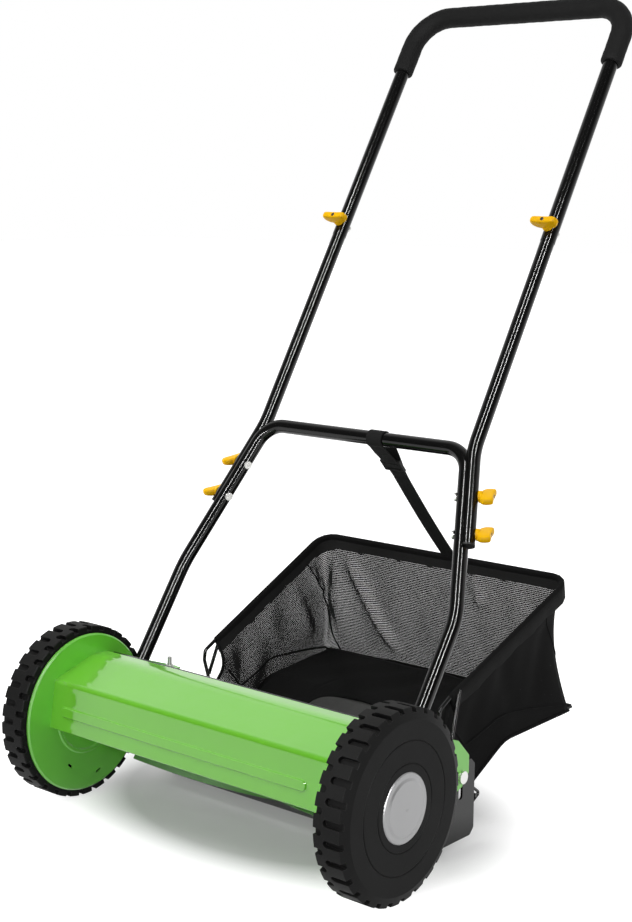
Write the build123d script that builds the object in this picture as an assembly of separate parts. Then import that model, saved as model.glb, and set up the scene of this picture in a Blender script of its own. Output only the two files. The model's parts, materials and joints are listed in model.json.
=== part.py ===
from build123d import *
import os
from math import atan2, cos, pi, radians, sin, sqrt, tan

os.makedirs("parts", exist_ok=True)

# Push reel mower in millimetres. X runs across the mower, +Y points back to the
# person who pushes it and Z is up. The origin is on the ground under the middle
# of the wheel axle line. Pairs are (y, z) and triples (x, y, z) from that origin.

# Clearances
running_gap = 0.05
thread_gap = 0.02
slide_gap = 0.3
bolt_gap = 0.1
cut_over = 5.0

# Main sizes
wheel_radius = 115.0
reel_half_length = 190.0
plate_from_reel = 45.4
axle_z = wheel_radius
plate_x = reel_half_length + plate_from_reel

# Wheels
wheel_from_plate = 4.7
tread_width = 37.4
tread_band = 15.0
tread_edge = 1.0
shoulder_rise = 4.9
shoulder_drop = 2.0
face_drop = 13.3
tread_slots = 30
slot_width = 8.5
slot_depth = 6.0
slot_phase_deg = 7.6
outer_slot_length = 19.0
inner_slot_length = 8.0
wheel_face_wall = 3.0
wheel_bowl_depth = 4.0
ring_seat_wall = 0.5
wheel_ribs = 8
wheel_rib_wall = 3.0
wheel_rib_turn_deg = 11.0
wheel_rib_from_gear = 7.0
hub_radius = 18.0
hub_clear_of_plate = 4.6
hub_pocket_depth = 12.0
cap_pocket_radius = 38.0
cap_seat_depth = 2.6
cap_gap = 0.15
cap_skirt_wall = 2.0
cap_skirt_depth = 8.0
hubcap_radius = 42.0
hubcap_height = 3.4
hubcap_bevel = 1.6
hubcap_step_radius = 33.5
hubcap_step = 1.5
hubcap_crown = 0.6
face_groove_radii = (51.6, 78.1)
face_groove = 1.2
face_groove_bottom = 0.2

# Gearing: a ring gear in each wheel turns a pinion on the reel shaft
ring_teeth = 75
pinion_teeth = 10
pressure_angle = radians(20)
ring_addendum = 1.2
pinion_addendum = 2.5
tooth_root_gap = 0.35
backlash = 0.5
gear_width = 11.0
pinion_end_gap = 0.5
ring_wall = 3.4
gear_from_wheel_edge = 3.0
reel_below_deg = 18.0

# Side plates and stub axles
plate_wall = 2.0
plate_disc_drop = 9.6
plate_rim_width = 4.0
arm_root_y = 20.0
arm_top_rise = 57.0
arm_top_reach = 8.0
arm_margin = 14.0
arm_slope = 24.0
arm_head = 25.0
arm_foot = 3.0
arm_heel_drop = 12.0
arm_belly = (60.0, 32.0)
arm_root_drop = 50.0
arm_corner = 3.0
bead_radius = 52.0
bead_width = 7.0
bead_height = 1.5
drain_slot = (9.0, 3.0)
drain_places = ((-33.0, axle_z - 66.3, -40.0), (18.3, axle_z - 85.5, 20.0))
axle_radius = 7.0
sleeve_wall = 1.0
axle_flange_radius = 22.0
axle_flange_wall = 4.0
axle_tail = 2.0
axle_nut_radius = 11.0
axle_nut_height = 7.0
axle_washer_radius = 14.0
axle_washer_wall = 1.5

# Deck cover
deck_wall = 1.5
deck_front_low = (-67.8, axle_z - 6.2)
deck_front_high = (-58.8, axle_z + 57.1)
deck_ridge = (11.0, axle_z + 77.9)
deck_rear = (38.9, axle_z + 76.1)
deck_rear_drop = 12.0
deck_lip = 7.0
deck_edge_radius = 2.0
deck_bend_radius = 7.0
deck_ridge_radius = 60.0
deck_rear_radius = 3.0
rib_height = 14.0
rib_proud = 2.0
rib_taper_deg = 35.0
rib_left_inset = 17.4
rib_right_inset = 44.4
rib_centre_z = axle_z + 20.0
deck_tab_half = 9.0
deck_tab_drop = 5.5
deck_screw_y = -12.0
deck_screw_depth = 7.5
deck_screw_radius = 2.5
deck_screw_head = (4.5, 1.8)
deck_nut = (4.4, 3.6)
tie_rod_radius = 5.0
tie_rod_end_radius = 3.5
tie_rod_end_proud = 2.0
tie_rod_behind_deck = 11.0
tie_rod_above_edge = 3.0

# Reel
reel_radius = 54.0
blade_count = 5
blade_depth = 13.0
blade_wall = 2.5
blade_rake_deg = 8.0
blade_twist_deg = 84.0
blade_phase_deg = 196.0
blade_sections = 8
spider_count = 4
spider_wall = 3.0
spider_hub_radius = 12.0
spider_arm = 9.0
spider_to_blade = 0.6
shaft_radius = 6.0
shaft_past_gear = 5.0
circlip_wall = 1.0
circlip_proud = 2.6
circlip_depth = 0.75
circlip_from_gear = 1.3
circlip_mouth = 5.0
pawl_width = 4.0
pawl_height = 3.0
pawl_proud = 2.0

# Reel bearings
bearing_outer_radius = 14.0
bearing_width = 8.0
race_wall = 2.0
ball_radius = 1.7
ball_count = 8
housing_wall = 3.0
housing_lip = 1.6
housing_flange_radius = 24.0
shaft_clearance = 3.0

# Bed knife
knife_gap = 0.4
knife_angle_deg = 20.0
knife_wall = 3.0
knife_width = 21.0
knife_bevel = 3.0
knife_overhang = 1.0
carrier_height = 11.0
carrier_width = 14.0
carrier_clear_of_reel = 2.2
cheek_wall = 3.0
cheek_gap = 3.0
cheek_neck = 11.0
cheek_corner = 1.2
knife_pivot = (125.0, axle_z - 20.0)
knife_pivot_radius = 5.0
knife_pivot_head = (7.5, 2.0)
knife_pivot_spacer_radius = 8.0
knife_screws = 6
knife_screw_inset = 20.0
knife_screw_from_rear = 8.0
knife_screw_radius = 2.5
knife_screw_head = (4.4, 1.8)
knife_screw_length = 8.0
stud_x = plate_x - 14.4
stud_y = 143.0
stud_radius = 3.0
stud_rise = 17.0
stud_drop = 42.0
stud_nut_radius = 6.0
stud_nut_height = 5.0
ledge_z = axle_z + 31.0
ledge_width = 26.0
ledge_margin = 8.0
knife_tab_wall = 3.0
knife_tab_width = 18.0
knife_tab_drop = 27.5
knife_tab_hole_gap = 1.2
knife_travel = 0.8

# Rear roller and its height adjustment
roller_y = 140.5
roller_radius = 20.0
roller_inset = 30.4
roller_wall = 3.0
roller_end_wall = 8.0
roller_axle_radius = 5.0
roller_collar_radius = 9.0
roller_collar_gap = 0.5
height_travel = 25.0
bracket_wall = 3.0
bracket_margin = 17.0
bracket_head = 18.0
bracket_chamfer = 8.0
bracket_behind_bolt = 30.0
bracket_foot = 9.0
bracket_toe = 12.0
bracket_shin = 34.0
bracket_corner = 3.0
height_bolt_z = axle_z - 23.0
height_bolt_y = 182.0
height_bolt_pitch = 30.0
height_bolt_radius = 4.0
height_bolt_head = (8.0, 3.0)
height_bolt_reaches = (11.0, 7.0)
height_nut = (7.5, 6.0)
height_knob_foot = (9.0, 6.0)
height_knob_wing = (10.0, 30.0, 8.0)
hook_wire = 2.0
hook_bend = 3.0
hook_reach = 19.0
hook_opening = 11.0

# Tubular handle
tube_radius = 9.5
tube_wall = 1.0
upper_tube_radius = 10.0
grip_radius = 14.75
handle_pivot = (78.5, axle_z + 33.0)
handle_bolt_radius = 4.0
handle_bolt_head = (7.5, 2.0)
handle_nut = (7.0, 6.5)
handle_bolt_tail = 8.0
leg_tail = 14.0
leg_bend = (178.0, axle_z + 175.0)
leg_bend_radius = 120.0
crossbar_corner = (plate_x - 70.0, 286.0, axle_z + 363.0)
crossbar_radius = 38.0
tube_pitch = 8.0
nest_lean = radians(18)
nest_gap = 0.6
nest_flare = 0.2
nest_below_tube = 6.0
middle_bend_radius = 110.0
middle_tube_drop = 128.0
middle_tube_rise = 304.0
tube_overlap = 60.0
neck_root = 4.0
grip_corner = (plate_x - 62.1, 651.7, axle_z + 939.0)
grip_corner_radius = 50.0
foam_leg_length = 46.0
end_cap_wall = 2.5
end_cap_plug = 8.0
joint_bolt_radius = 3.0
joint_bolt_head = (5.5, 2.6)
joint_bolt_recess = (9.0, 1.2, 1.6)
joint_bolt_in_knob = 9.0
joint_hole_reach = 22.0
lower_knob_drops = (64.0, 115.0)
upper_knob_rise = 18.0

# Wing knobs
knob_base_radius = 8.0
knob_base_height = 6.0
knob_span = 40.0
knob_height = 21.0
knob_thickness = 9.0
knob_waist = 0.7
knob_shoulder = 0.45
knob_crown = 0.86
knob_corner = 2.4
knob_bore_past_base = 5.0
lower_knob_turns = (radians(-45), radians(-48))

# Grass catcher
catcher_half_width = plate_x - 38.4
catcher_rear_half_width = plate_x - 24.4
catcher_wire = 2.5
catcher_pivot = (219.0, axle_z - 57.4)
catcher_peg_play = 1.5
rim_front = (212.0, axle_z + 63.0)
rim_rear = (469.0, axle_z + 171.0)
floor_front = (252.0, axle_z - 65.0)
floor_knee = (330.0, axle_z - 20.0)
floor_rear = (492.0, axle_z - 13.0)
floor_knee_radius = 60.0
frame_arm_inset = 14.0
frame_knee = (-7.0, -53.0)
frame_knee_out = 8.0
frame_neck = (-24.0, -24.0)
frame_crook = (-22.0, -11.0)
frame_bends = (7.0, 10.0, 8.0, 6.0, 6.0, 22.0)
brace_along_rim = 17.0
brace_out = 2.4
brace_from_knee = 3.0
bag_inset = 0.5
bag_mouth = (4.0, -60.0)
fabric_wall = 1.6
floor_wall = 3.0
floor_lip = (9.0, 7.5)
floor_lip_wall = 3.4
strap_x = 25.0
strap_width = 24.0
strap_wall = 1.6
buckle_margin = 8.0
buckle_height = 20.0
buckle_slot = 4.0
buckle_slot_out = 5.0
buckle_half_wall = 2.0
buckle_down_strap = 52.0

# Values that follow from those above
sides = {"left": -1, "right": 1}
plate_out_x = plate_x + plate_wall
plate_disc_radius = wheel_radius - plate_disc_drop
tread_inner_x = plate_x + wheel_from_plate
tread_outer_x = tread_inner_x + tread_width
face_x = tread_outer_x + shoulder_rise
face_radius = wheel_radius - face_drop
cap_seat_x = face_x - cap_seat_depth
hub_pocket_x = cap_seat_x - hub_pocket_depth
axle_nut_x = hub_pocket_x + slide_gap + axle_washer_wall
axle_end_x = axle_nut_x + axle_nut_height + axle_tail
ring_outer = wheel_radius - tread_band
ring_root = ring_outer - ring_wall
ring_pitch = ring_root - pinion_addendum - tooth_root_gap
gear_module = 2 * ring_pitch / ring_teeth
pinion_pitch = gear_module * pinion_teeth / 2
gear_centres = ring_pitch - pinion_pitch
reel_y = gear_centres * cos(radians(reel_below_deg))
reel_z = axle_z - gear_centres * sin(radians(reel_below_deg))
gear_x = tread_inner_x + gear_from_wheel_edge
gear_end_x = gear_x + gear_width
gear_middle_x = gear_x + gear_width / 2
shaft_end_x = gear_end_x + shaft_past_gear
pawl_reach = shaft_radius + pawl_proud
bearing_start = plate_x - housing_wall - bearing_width + housing_lip
sleeve_radius = axle_radius + running_gap + sleeve_wall
tie_rod_y = deck_rear[0] + tie_rod_behind_deck
tie_rod_z = deck_rear[1] - deck_rear_drop + tie_rod_above_edge
knife_reach = reel_radius + knife_gap
knife_y = reel_y + knife_reach * sin(radians(knife_angle_deg))
knife_z = reel_z - knife_reach * cos(radians(knife_angle_deg))
knife_rear = knife_y + knife_width
knife_screw_y = knife_rear - knife_screw_from_rear
cheek_in = reel_half_length + cheek_gap
cheek_out = cheek_in + cheek_wall
roller_half_length = plate_x - roller_inset
height_bolt_ys = (height_bolt_y, height_bolt_y - height_bolt_pitch)
bracket_rear = height_bolt_y + bracket_behind_bolt
bracket_in_x = plate_x - bracket_wall

# Lines of the handle's right-hand tubes
leg_x = plate_x - tube_radius - slide_gap
leg_low = Vector(leg_x, *handle_pivot)
leg_mid = Vector(leg_x, *leg_bend)
leg_top = Vector(*crossbar_corner)
leg_up = (leg_top - leg_mid).normalized()
leg_side = (Vector(1, 0, 0) - leg_up * leg_up.X).normalized()
leg_front = leg_side.cross(leg_up)
joint_dir = leg_side * cos(nest_lean) - leg_front * sin(nest_lean)
middle_bend = leg_top + joint_dir * tube_pitch
middle_low = middle_bend - leg_up * middle_tube_drop
grip_top = Vector(*grip_corner)
upper_up = (grip_top - middle_bend).normalized()
middle_high = middle_bend + upper_up * middle_tube_rise
upper_bolt = middle_high + upper_up * upper_knob_rise
knob_front = Vector(0, -upper_up.Z, upper_up.Y).normalized()

# Lines of the catcher and its strap
bar_centre = Vector(0, crossbar_corner[1], crossbar_corner[2])
rim_centre = Vector(0, *rim_rear)
strap_down = (rim_centre - bar_centre).normalized()
strap_front = Vector(0, strap_down.Z, -strap_down.Y)


def save(name, *shapes):
    solids = [solid for shape in shapes for solid in shape.solids()]
    export_step(solids[0] if len(solids) == 1 else Compound(children=solids), f"parts/{name}.step")


def across(sketch, x0, x1):
    """Extrudes a sketch drawn in Y and Z between two X positions."""
    low, high = min(x0, x1), max(x0, x1)
    return extrude(Plane.YZ.offset(low) * sketch, high - low)


def disc_at(y, z, radius):
    return Pos(y, z) * Circle(radius)


def outline(points, radius=0.0):
    shape = make_face(Polyline(*points, close=True))
    return fillet(shape.vertices(), radius) if radius else shape


def rod(start, end, radius):
    start, end = Vector(start), Vector(end)
    return Solid.make_cylinder(radius, (end - start).length, Plane(origin=start, z_dir=end - start))


def pipe(path, outer, inner=0.0):
    section = Circle(outer) - Circle(inner) if inner else Circle(outer)
    return sweep(Plane(origin=path @ 0, z_dir=path % 0) * section, path=path)


def spun(points, y=0.0, z=axle_z):
    """Turns an outline of (x, radius) points about an axis along X through y, z."""
    profile = make_face(Polyline(*[(x, radius, 0) for x, radius in points], close=True))
    return Pos(0, y, z) * revolve(profile, Axis.X, 360)


def flipped(shape):
    return mirror(shape, about=Plane.YZ)


def both(shape):
    return [shape, flipped(shape)]


def mirrored(point):
    return Vector(-point.X, point.Y, point.Z)


def hex_prism(start, direction, across_corners, height):
    plane = Plane(origin=Vector(*start), z_dir=Vector(*direction))
    return extrude(plane * RegularPolygon(across_corners, 6), height)


def plate_bolt(side, place, radius, inner, head):
    """A bolt through a side plate, with its head outside."""
    head_radius, head_wall = head
    bolt = across(disc_at(*place, radius), inner, side * plate_out_x)
    return bolt + across(disc_at(*place, head_radius), side * plate_out_x, side * (plate_out_x + head_wall))


def plate_nut(side, place, start, size, bolt_radius):
    """A nut facing inwards from start on a bolt across the mower."""
    nut_radius, height = size
    nut = hex_prism((start, *place), (-side, 0, 0), nut_radius, height)
    return nut - across(disc_at(*place, bolt_radius + thread_gap), start, start - side * height)


def involute(base, radius, phase):
    """Point where the involute of a base circle crosses a radius."""
    roll = sqrt(max((radius / base) ** 2 - 1, 0.0))
    angle = phase + roll - atan2(roll, 1)
    return radius * cos(angle), radius * sin(angle)


def gear_outline(teeth, tip, root, play):
    """Outline of a spur gear with a tooth centred on the first sketch axis.

    play is added to the tooth's thickness along the pitch circle."""
    pitch = gear_module * teeth / 2
    base = pitch * cos(pressure_angle)
    half = pi / (2 * teeth) + play / (2 * pitch) + tan(pressure_angle) - pressure_angle
    start = max(base, root)
    steps = 4
    flank = [involute(base, start + (tip - start) * step / steps, -half) for step in range(steps + 1)]
    if root < base:
        flank.insert(0, (root * cos(half), -root * sin(half)))
    tooth = flank + [(x, -y) for x, y in reversed(flank)]
    points = []
    for index in range(teeth):
        turn = 2 * pi * index / teeth
        points += [(x * cos(turn) - y * sin(turn), x * sin(turn) + y * cos(turn)) for x, y in tooth]
    return outline(points)


def make_wheel_body():
    band_inner = ring_outer + running_gap
    cap_seat_radius = hubcap_radius + cap_gap
    bore = sleeve_radius + running_gap
    hub_x = plate_out_x + hub_clear_of_plate
    hub_wall_x = hub_pocket_x - wheel_face_wall
    pocket_out = cap_pocket_radius + wheel_face_wall
    back_x = face_x - wheel_face_wall
    seat_radius = ring_root + ring_seat_wall
    body = spun(
        [
            (tread_inner_x, band_inner),
            (tread_inner_x, wheel_radius - tread_edge),
            (tread_inner_x + tread_edge, wheel_radius),
            (tread_outer_x - tread_edge, wheel_radius),
            (tread_outer_x, wheel_radius - shoulder_drop),
            (face_x, face_radius),
            (face_x, cap_seat_radius),
            (cap_seat_x, cap_seat_radius),
            (cap_seat_x, cap_pocket_radius),
            (hub_pocket_x, cap_pocket_radius),
            (hub_pocket_x, bore),
            (hub_x, bore),
            (hub_x, hub_radius),
            (hub_wall_x, hub_radius),
            (hub_wall_x, pocket_out),
            (back_x, pocket_out),
            (back_x, ring_root - wheel_face_wall),
            (back_x - wheel_bowl_depth, seat_radius),
            (gear_end_x, seat_radius),
            (gear_end_x, band_inner),
        ]
    )
    pocket = Pos(0, 0, axle_z) * across(Circle(cap_pocket_radius), hub_pocket_x, face_x + cut_over)
    rib_x = gear_end_x + wheel_rib_from_gear
    rib_length = ring_root - hub_radius
    rib = Box(back_x - rib_x, rib_length + 2 * ring_seat_wall, wheel_rib_wall)
    rib = Pos((back_x + rib_x) / 2, hub_radius + rib_length / 2, 0) * rib
    ribs = []
    for index in range(wheel_ribs):
        turn = 360 * index / wheel_ribs + wheel_rib_turn_deg
        ribs.append(Pos(0, 0, axle_z) * Rot(turn, 0, 0) * rib - pocket)
    return body + ribs


def tread_cuts(x_open, x_round, phase_deg):
    """A row of slots that run out over one edge of the tread and end round inside it."""
    middle = wheel_radius + (cut_over - slot_depth) / 2
    depth = slot_depth + cut_over
    slot = Pos((x_open + x_round) / 2, middle, 0) * Box(abs(x_round - x_open), depth, slot_width)
    slot = slot + Pos(x_round, middle, 0) * Rot(90, 0, 0) * Cylinder(slot_width / 2, depth)
    turns = [phase_deg + 360 * index / tread_slots for index in range(tread_slots)]
    return [Pos(0, 0, axle_z) * Rot(turn, 0, 0) * slot for turn in turns]


def make_wheel():
    cuts = tread_cuts(tread_outer_x + cut_over, tread_outer_x - outer_slot_length, slot_phase_deg)
    inner_phase_deg = slot_phase_deg + 180 / tread_slots
    cuts += tread_cuts(tread_inner_x - cut_over, tread_inner_x + inner_slot_length, inner_phase_deg)
    for radius in face_groove_radii:
        cuts.append(
            spun(
                [
                    (face_x - face_groove, radius - face_groove_bottom),
                    (face_x, radius - face_groove),
                    (face_x, radius + face_groove),
                    (face_x - face_groove, radius + face_groove_bottom),
                ]
            )
        )
    return make_wheel_body() - cuts


def make_ring_gear():
    spaces = gear_outline(ring_teeth, ring_root, ring_pitch - ring_addendum, backlash)
    face = Circle(ring_outer) - Rot(0, 0, -reel_below_deg) * spaces
    return Pos(0, 0, axle_z) * across(face, gear_x, gear_end_x)


def make_hubcap():
    top = cap_seat_x + hubcap_height
    skirt = cap_pocket_radius - cap_gap
    skirt_x = cap_seat_x - cap_skirt_depth
    return spun(
        [
            (cap_seat_x, 0),
            (cap_seat_x, skirt - cap_skirt_wall),
            (skirt_x, skirt - cap_skirt_wall),
            (skirt_x, skirt),
            (cap_seat_x, skirt),
            (cap_seat_x, hubcap_radius),
            (top - hubcap_bevel, hubcap_radius),
            (top, hubcap_radius - hubcap_bevel),
            (top, hubcap_step_radius + hubcap_step),
            (top + hubcap_step, hubcap_step_radius - hubcap_step),
            (top + hubcap_step + hubcap_crown, 0),
        ]
    )


def plate_arm():
    y, z = height_bolt_y, height_bolt_z
    rear = y + arm_margin
    top = axle_z + arm_top_rise
    return outline(
        [
            (arm_root_y, top),
            (handle_pivot[0] + arm_top_reach, top),
            (rear - arm_slope, z + arm_head + arm_slope),
            (rear, z + arm_head),
            (rear, z + arm_foot),
            (y, z - arm_heel_drop),
            (y - arm_belly[0], z - arm_belly[1]),
            (arm_root_y, z - arm_root_drop),
        ],
        arm_corner,
    )


def make_side_plate():
    arm = across(plate_arm(), plate_x, plate_out_x)
    rim_in = plate_disc_radius - plate_wall
    rim_x = plate_x + plate_rim_width
    disc = spun([(plate_x, 0), (plate_x, rim_in), (plate_out_x, plate_disc_radius), (plate_out_x, 0)])
    rim_end = [(rim_x, plate_disc_radius), (rim_x, rim_in)]
    rim = spun([(plate_x, rim_in), (plate_out_x, plate_disc_radius), *rim_end])
    bead_x = plate_x - bead_height
    bead = spun(
        [
            (plate_x, bead_radius - bead_width / 2),
            (bead_x, bead_radius - bead_width / 4),
            (bead_x, bead_radius + bead_width / 4),
            (plate_x, bead_radius + bead_width / 2),
        ]
    )
    reach = plate_x - stud_x + ledge_margin
    ledge = Pos(plate_x - reach / 2, stud_y, ledge_z) * Box(reach, ledge_width, plate_wall)
    plate = disc + rim + arm + bead + ledge
    holes = [
        disc_at(0, axle_z, axle_radius + bolt_gap),
        disc_at(reel_y, reel_z, shaft_radius + shaft_clearance),
        disc_at(*handle_pivot, handle_bolt_radius + bolt_gap),
        disc_at(*knife_pivot, knife_pivot_radius + bolt_gap),
        disc_at(tie_rod_y, tie_rod_z, tie_rod_end_radius + bolt_gap),
        disc_at(deck_screw_y, deck_screw_z(), deck_screw_radius + bolt_gap),
    ]
    holes += [disc_at(y, height_bolt_z, height_bolt_radius + bolt_gap) for y in height_bolt_ys]
    holes += [Pos(y, z) * Rot(0, 0, turn) * SlotOverall(*drain_slot) for y, z, turn in drain_places]
    for hole in holes:
        plate = plate - across(hole, plate_x - cut_over, plate_out_x + cut_over)
    return plate - Pos(stud_x, stud_y, ledge_z) * Cylinder(stud_radius + bolt_gap, 2 * cut_over)


def deck_top(y):
    """Height of the deck's flat top over a Y position."""
    rise = (deck_ridge[1] - deck_front_high[1]) / (deck_ridge[0] - deck_front_high[0])
    return deck_front_high[1] + rise * (y - deck_front_high[0])


def deck_screw_z():
    return deck_top(deck_screw_y) - deck_screw_depth


def deck_rib():
    """The long raised rib of the deck's front, and the hollow behind it."""
    front = Vector(0, *deck_front_high) - Vector(0, *deck_front_low)
    slope = front.normalized()
    low_y, low_z = deck_front_low
    rise = rib_centre_z - low_z
    centre = Vector((rib_left_inset - rib_right_inset) / 2, low_y + rise * slope.Y / slope.Z, rib_centre_z)
    plane = Plane(origin=centre, x_dir=(1, 0, 0), z_dir=(0, -slope.Z, slope.Y))
    length = 2 * plate_x - rib_left_inset - rib_right_inset
    rib = extrude(plane * SlotOverall(length, rib_height), rib_proud, taper=rib_taper_deg)
    inside = SlotOverall(length - 2 * rib_proud, rib_height - 2 * rib_proud)
    hollow = extrude(plane.offset(-2 * deck_wall) * inside, deck_wall + rib_proud, taper=rib_taper_deg / 2)
    return rib, hollow


def make_deck():
    line = FilletPolyline(
        (deck_front_low[0] + deck_lip, deck_front_low[1] + tread_edge),
        deck_front_low,
        deck_front_high,
        deck_ridge,
        deck_rear,
        (deck_rear[0] + deck_edge_radius, deck_rear[1] - deck_rear_drop),
        radius=[deck_edge_radius, deck_bend_radius, deck_ridge_radius, deck_rear_radius],
    )
    inner = line.offset_2d(deck_wall, side=Side.RIGHT, closed=False)
    ends = [Line(line @ 1, inner @ 1), Line(inner @ 0, line @ 0)]
    deck = across(make_face([*line.edges(), *inner.edges(), *ends]), -plate_x, plate_x)
    rib, hollow = deck_rib()
    deck = deck + rib - hollow
    front, back = deck_screw_y - deck_tab_half, deck_screw_y + deck_tab_half
    under = deck_wall / 2
    low = deck_screw_z() - deck_tab_drop
    top = [(back, deck_top(back) - under), (front, deck_top(front) - under)]
    tab = outline([(front, low), (back, low), *top])
    tab = tab - disc_at(deck_screw_y, deck_screw_z(), deck_screw_radius + bolt_gap)
    return deck + both(across(tab, plate_x - deck_wall, plate_x))


def make_tie_rod():
    centre = disc_at(tie_rod_y, tie_rod_z, tie_rod_radius)
    end = disc_at(tie_rod_y, tie_rod_z, tie_rod_end_radius)
    end_x = plate_out_x + tie_rod_end_proud
    return across(centre, -plate_x, plate_x) + across(end, -end_x, end_x)


def make_stub_axle():
    flange_x = plate_x - axle_flange_wall
    return spun(
        [
            (flange_x, 0),
            (flange_x, axle_flange_radius),
            (plate_x, axle_flange_radius),
            (plate_x, axle_radius),
            (axle_end_x, axle_radius),
            (axle_end_x, 0),
        ]
    )


def make_sleeve():
    ring = Circle(sleeve_radius) - Circle(axle_radius + running_gap)
    return Pos(0, 0, axle_z) * across(ring, plate_out_x, axle_nut_x - axle_washer_wall)


def make_axle_nut():
    nut = hex_prism((axle_nut_x, 0, axle_z), (1, 0, 0), axle_nut_radius, axle_nut_height)
    washer = Pos(0, 0, axle_z) * across(Circle(axle_washer_radius), axle_nut_x - axle_washer_wall, axle_nut_x)
    core = Pos(0, 0, axle_z) * across(Circle(axle_radius + running_gap), gear_x, face_x)
    return [nut - core, washer - core]


def reel_turn(x, index):
    """Angle of a blade's edge at a place along the reel."""
    twist = blade_twist_deg * x / (2 * reel_half_length)
    return blade_phase_deg + twist + 360 * index / blade_count


def make_blade(index):
    raked = Rot(0, 0, blade_rake_deg) * Rectangle(blade_depth, blade_wall)
    strip = Pos(reel_radius - blade_depth / 2, 0) * raked
    sections = []
    for step in range(blade_sections + 1):
        x = reel_half_length * (2 * step / blade_sections - 1)
        sections.append(Plane.YZ.offset(x) * Pos(reel_y, reel_z) * Rot(0, 0, reel_turn(x, index)) * strip)
    swept = disc_at(reel_y, reel_z, reel_radius)
    return loft(sections) & across(swept, -reel_half_length - cut_over, reel_half_length + cut_over)


def make_spider(x):
    reach = reel_radius - blade_depth - spider_to_blade
    arm = Pos(reach / 2, 0) * Rectangle(reach, spider_arm)
    shape = Circle(spider_hub_radius)
    for index in range(blade_count):
        shape = shape + Rot(0, 0, reel_turn(x, index)) * arm
    shape = shape - Circle(shaft_radius + running_gap)
    return across(Pos(reel_y, reel_z) * shape, x - spider_wall / 2, x + spider_wall / 2)


def make_spiders():
    reach = reel_half_length - spider_wall / 2
    return [make_spider(reach * (2 * index / (spider_count - 1) - 1)) for index in range(spider_count)]


def make_reel_shaft():
    centre = disc_at(reel_y, reel_z, shaft_radius)
    groove = disc_at(reel_y, reel_z, shaft_radius + cut_over)
    groove = groove - disc_at(reel_y, reel_z, shaft_radius - circlip_depth - running_gap)
    shaft = across(centre, -shaft_end_x, shaft_end_x)
    for side in sides.values():
        shaft = shaft - pawl_bar(side, pawl_reach + cut_over, bolt_gap)
        x = gear_end_x + circlip_from_gear
        shaft = shaft - across(groove, side * (x - bolt_gap), side * (x + circlip_wall + bolt_gap))
    return shaft


def pawl_bar(side, reach, slack=0.0):
    place = Pos(side * gear_middle_x, reel_y, reel_z)
    return place * Box(pawl_width + 2 * slack, pawl_height + 2 * slack, 2 * reach)


def make_pinion(side):
    tip = pinion_pitch + pinion_addendum - tooth_root_gap / 2
    root = pinion_pitch - ring_addendum - 2 * tooth_root_gap
    teeth = Rot(0, 0, -reel_below_deg) * gear_outline(pinion_teeth, tip, root, -backlash)
    low, high = gear_x + pinion_end_gap, gear_end_x - pinion_end_gap
    pinion = across(Pos(reel_y, reel_z) * teeth, side * low, side * high)
    bore = disc_at(reel_y, reel_z, shaft_radius + running_gap)
    chamber = disc_at(reel_y, reel_z, pawl_reach + slide_gap)
    middle, half = side * gear_middle_x, pawl_width / 2 + slide_gap
    pinion = pinion - across(chamber, middle - half, middle + half)
    return pinion - across(bore, side * gear_x, side * gear_end_x)


def make_circlip(side):
    ring = Circle(shaft_radius + circlip_proud) - Circle(shaft_radius - circlip_depth)
    ring = ring - Pos(shaft_radius, 0) * Rectangle(2 * shaft_radius, circlip_mouth)
    x = side * (gear_end_x + circlip_from_gear)
    return across(Pos(reel_y, reel_z) * ring, x, x + side * circlip_wall)


def make_housing():
    seat_radius = bearing_outer_radius + running_gap
    cup_radius = seat_radius + housing_wall
    flange_x = plate_x - housing_wall
    lip_x = bearing_start - housing_lip
    lip_radius = shaft_radius + shaft_clearance
    return spun(
        [
            (plate_x, seat_radius),
            (plate_x, housing_flange_radius),
            (flange_x, housing_flange_radius),
            (flange_x, cup_radius),
            (lip_x, cup_radius),
            (lip_x, lip_radius),
            (bearing_start, lip_radius),
            (bearing_start, seat_radius),
        ],
        reel_y,
        reel_z,
    )


def make_race(inner, outer):
    ring = Circle(outer) - Circle(inner)
    return across(Pos(reel_y, reel_z) * ring, bearing_start, bearing_start + bearing_width)


def make_balls():
    mid = (bearing_outer_radius + shaft_radius) / 2
    x = bearing_start + bearing_width / 2
    turns = [2 * pi * index / ball_count for index in range(ball_count)]
    centres = [Pos(x, reel_y + mid * cos(turn), reel_z + mid * sin(turn)) for turn in turns]
    return [centre * Sphere(ball_radius) for centre in centres]


def knife_screw_xs():
    end = reel_half_length - knife_screw_inset
    return [end * (2 * index / (knife_screws - 1) - 1) for index in range(knife_screws)]


def make_knife():
    low = knife_z - knife_wall
    edge = (knife_y, knife_z)
    face = outline([edge, (knife_rear, knife_z), (knife_rear, low), (knife_y + knife_bevel, low)])
    half = reel_half_length + knife_overhang
    knife = across(face, -half, half)
    hole = Cylinder(knife_screw_radius + bolt_gap, 4 * knife_wall)
    return knife - [Pos(x, knife_screw_y, knife_z) * hole for x in knife_screw_xs()]


def carrier_outline():
    """The carrier's bar, hollowed on top to clear the reel."""
    clear = reel_radius + carrier_clear_of_reel
    steps = 5
    points = [(knife_rear, knife_z)]
    for step in range(steps + 1):
        y = knife_rear - carrier_width * step / steps
        under = reel_z - sqrt(max(clear**2 - (y - reel_y) ** 2, 1.0))
        points.append((y, min(under, knife_z + carrier_height)))
    points.append((knife_rear - carrier_width, knife_z))
    return outline(points)


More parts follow.
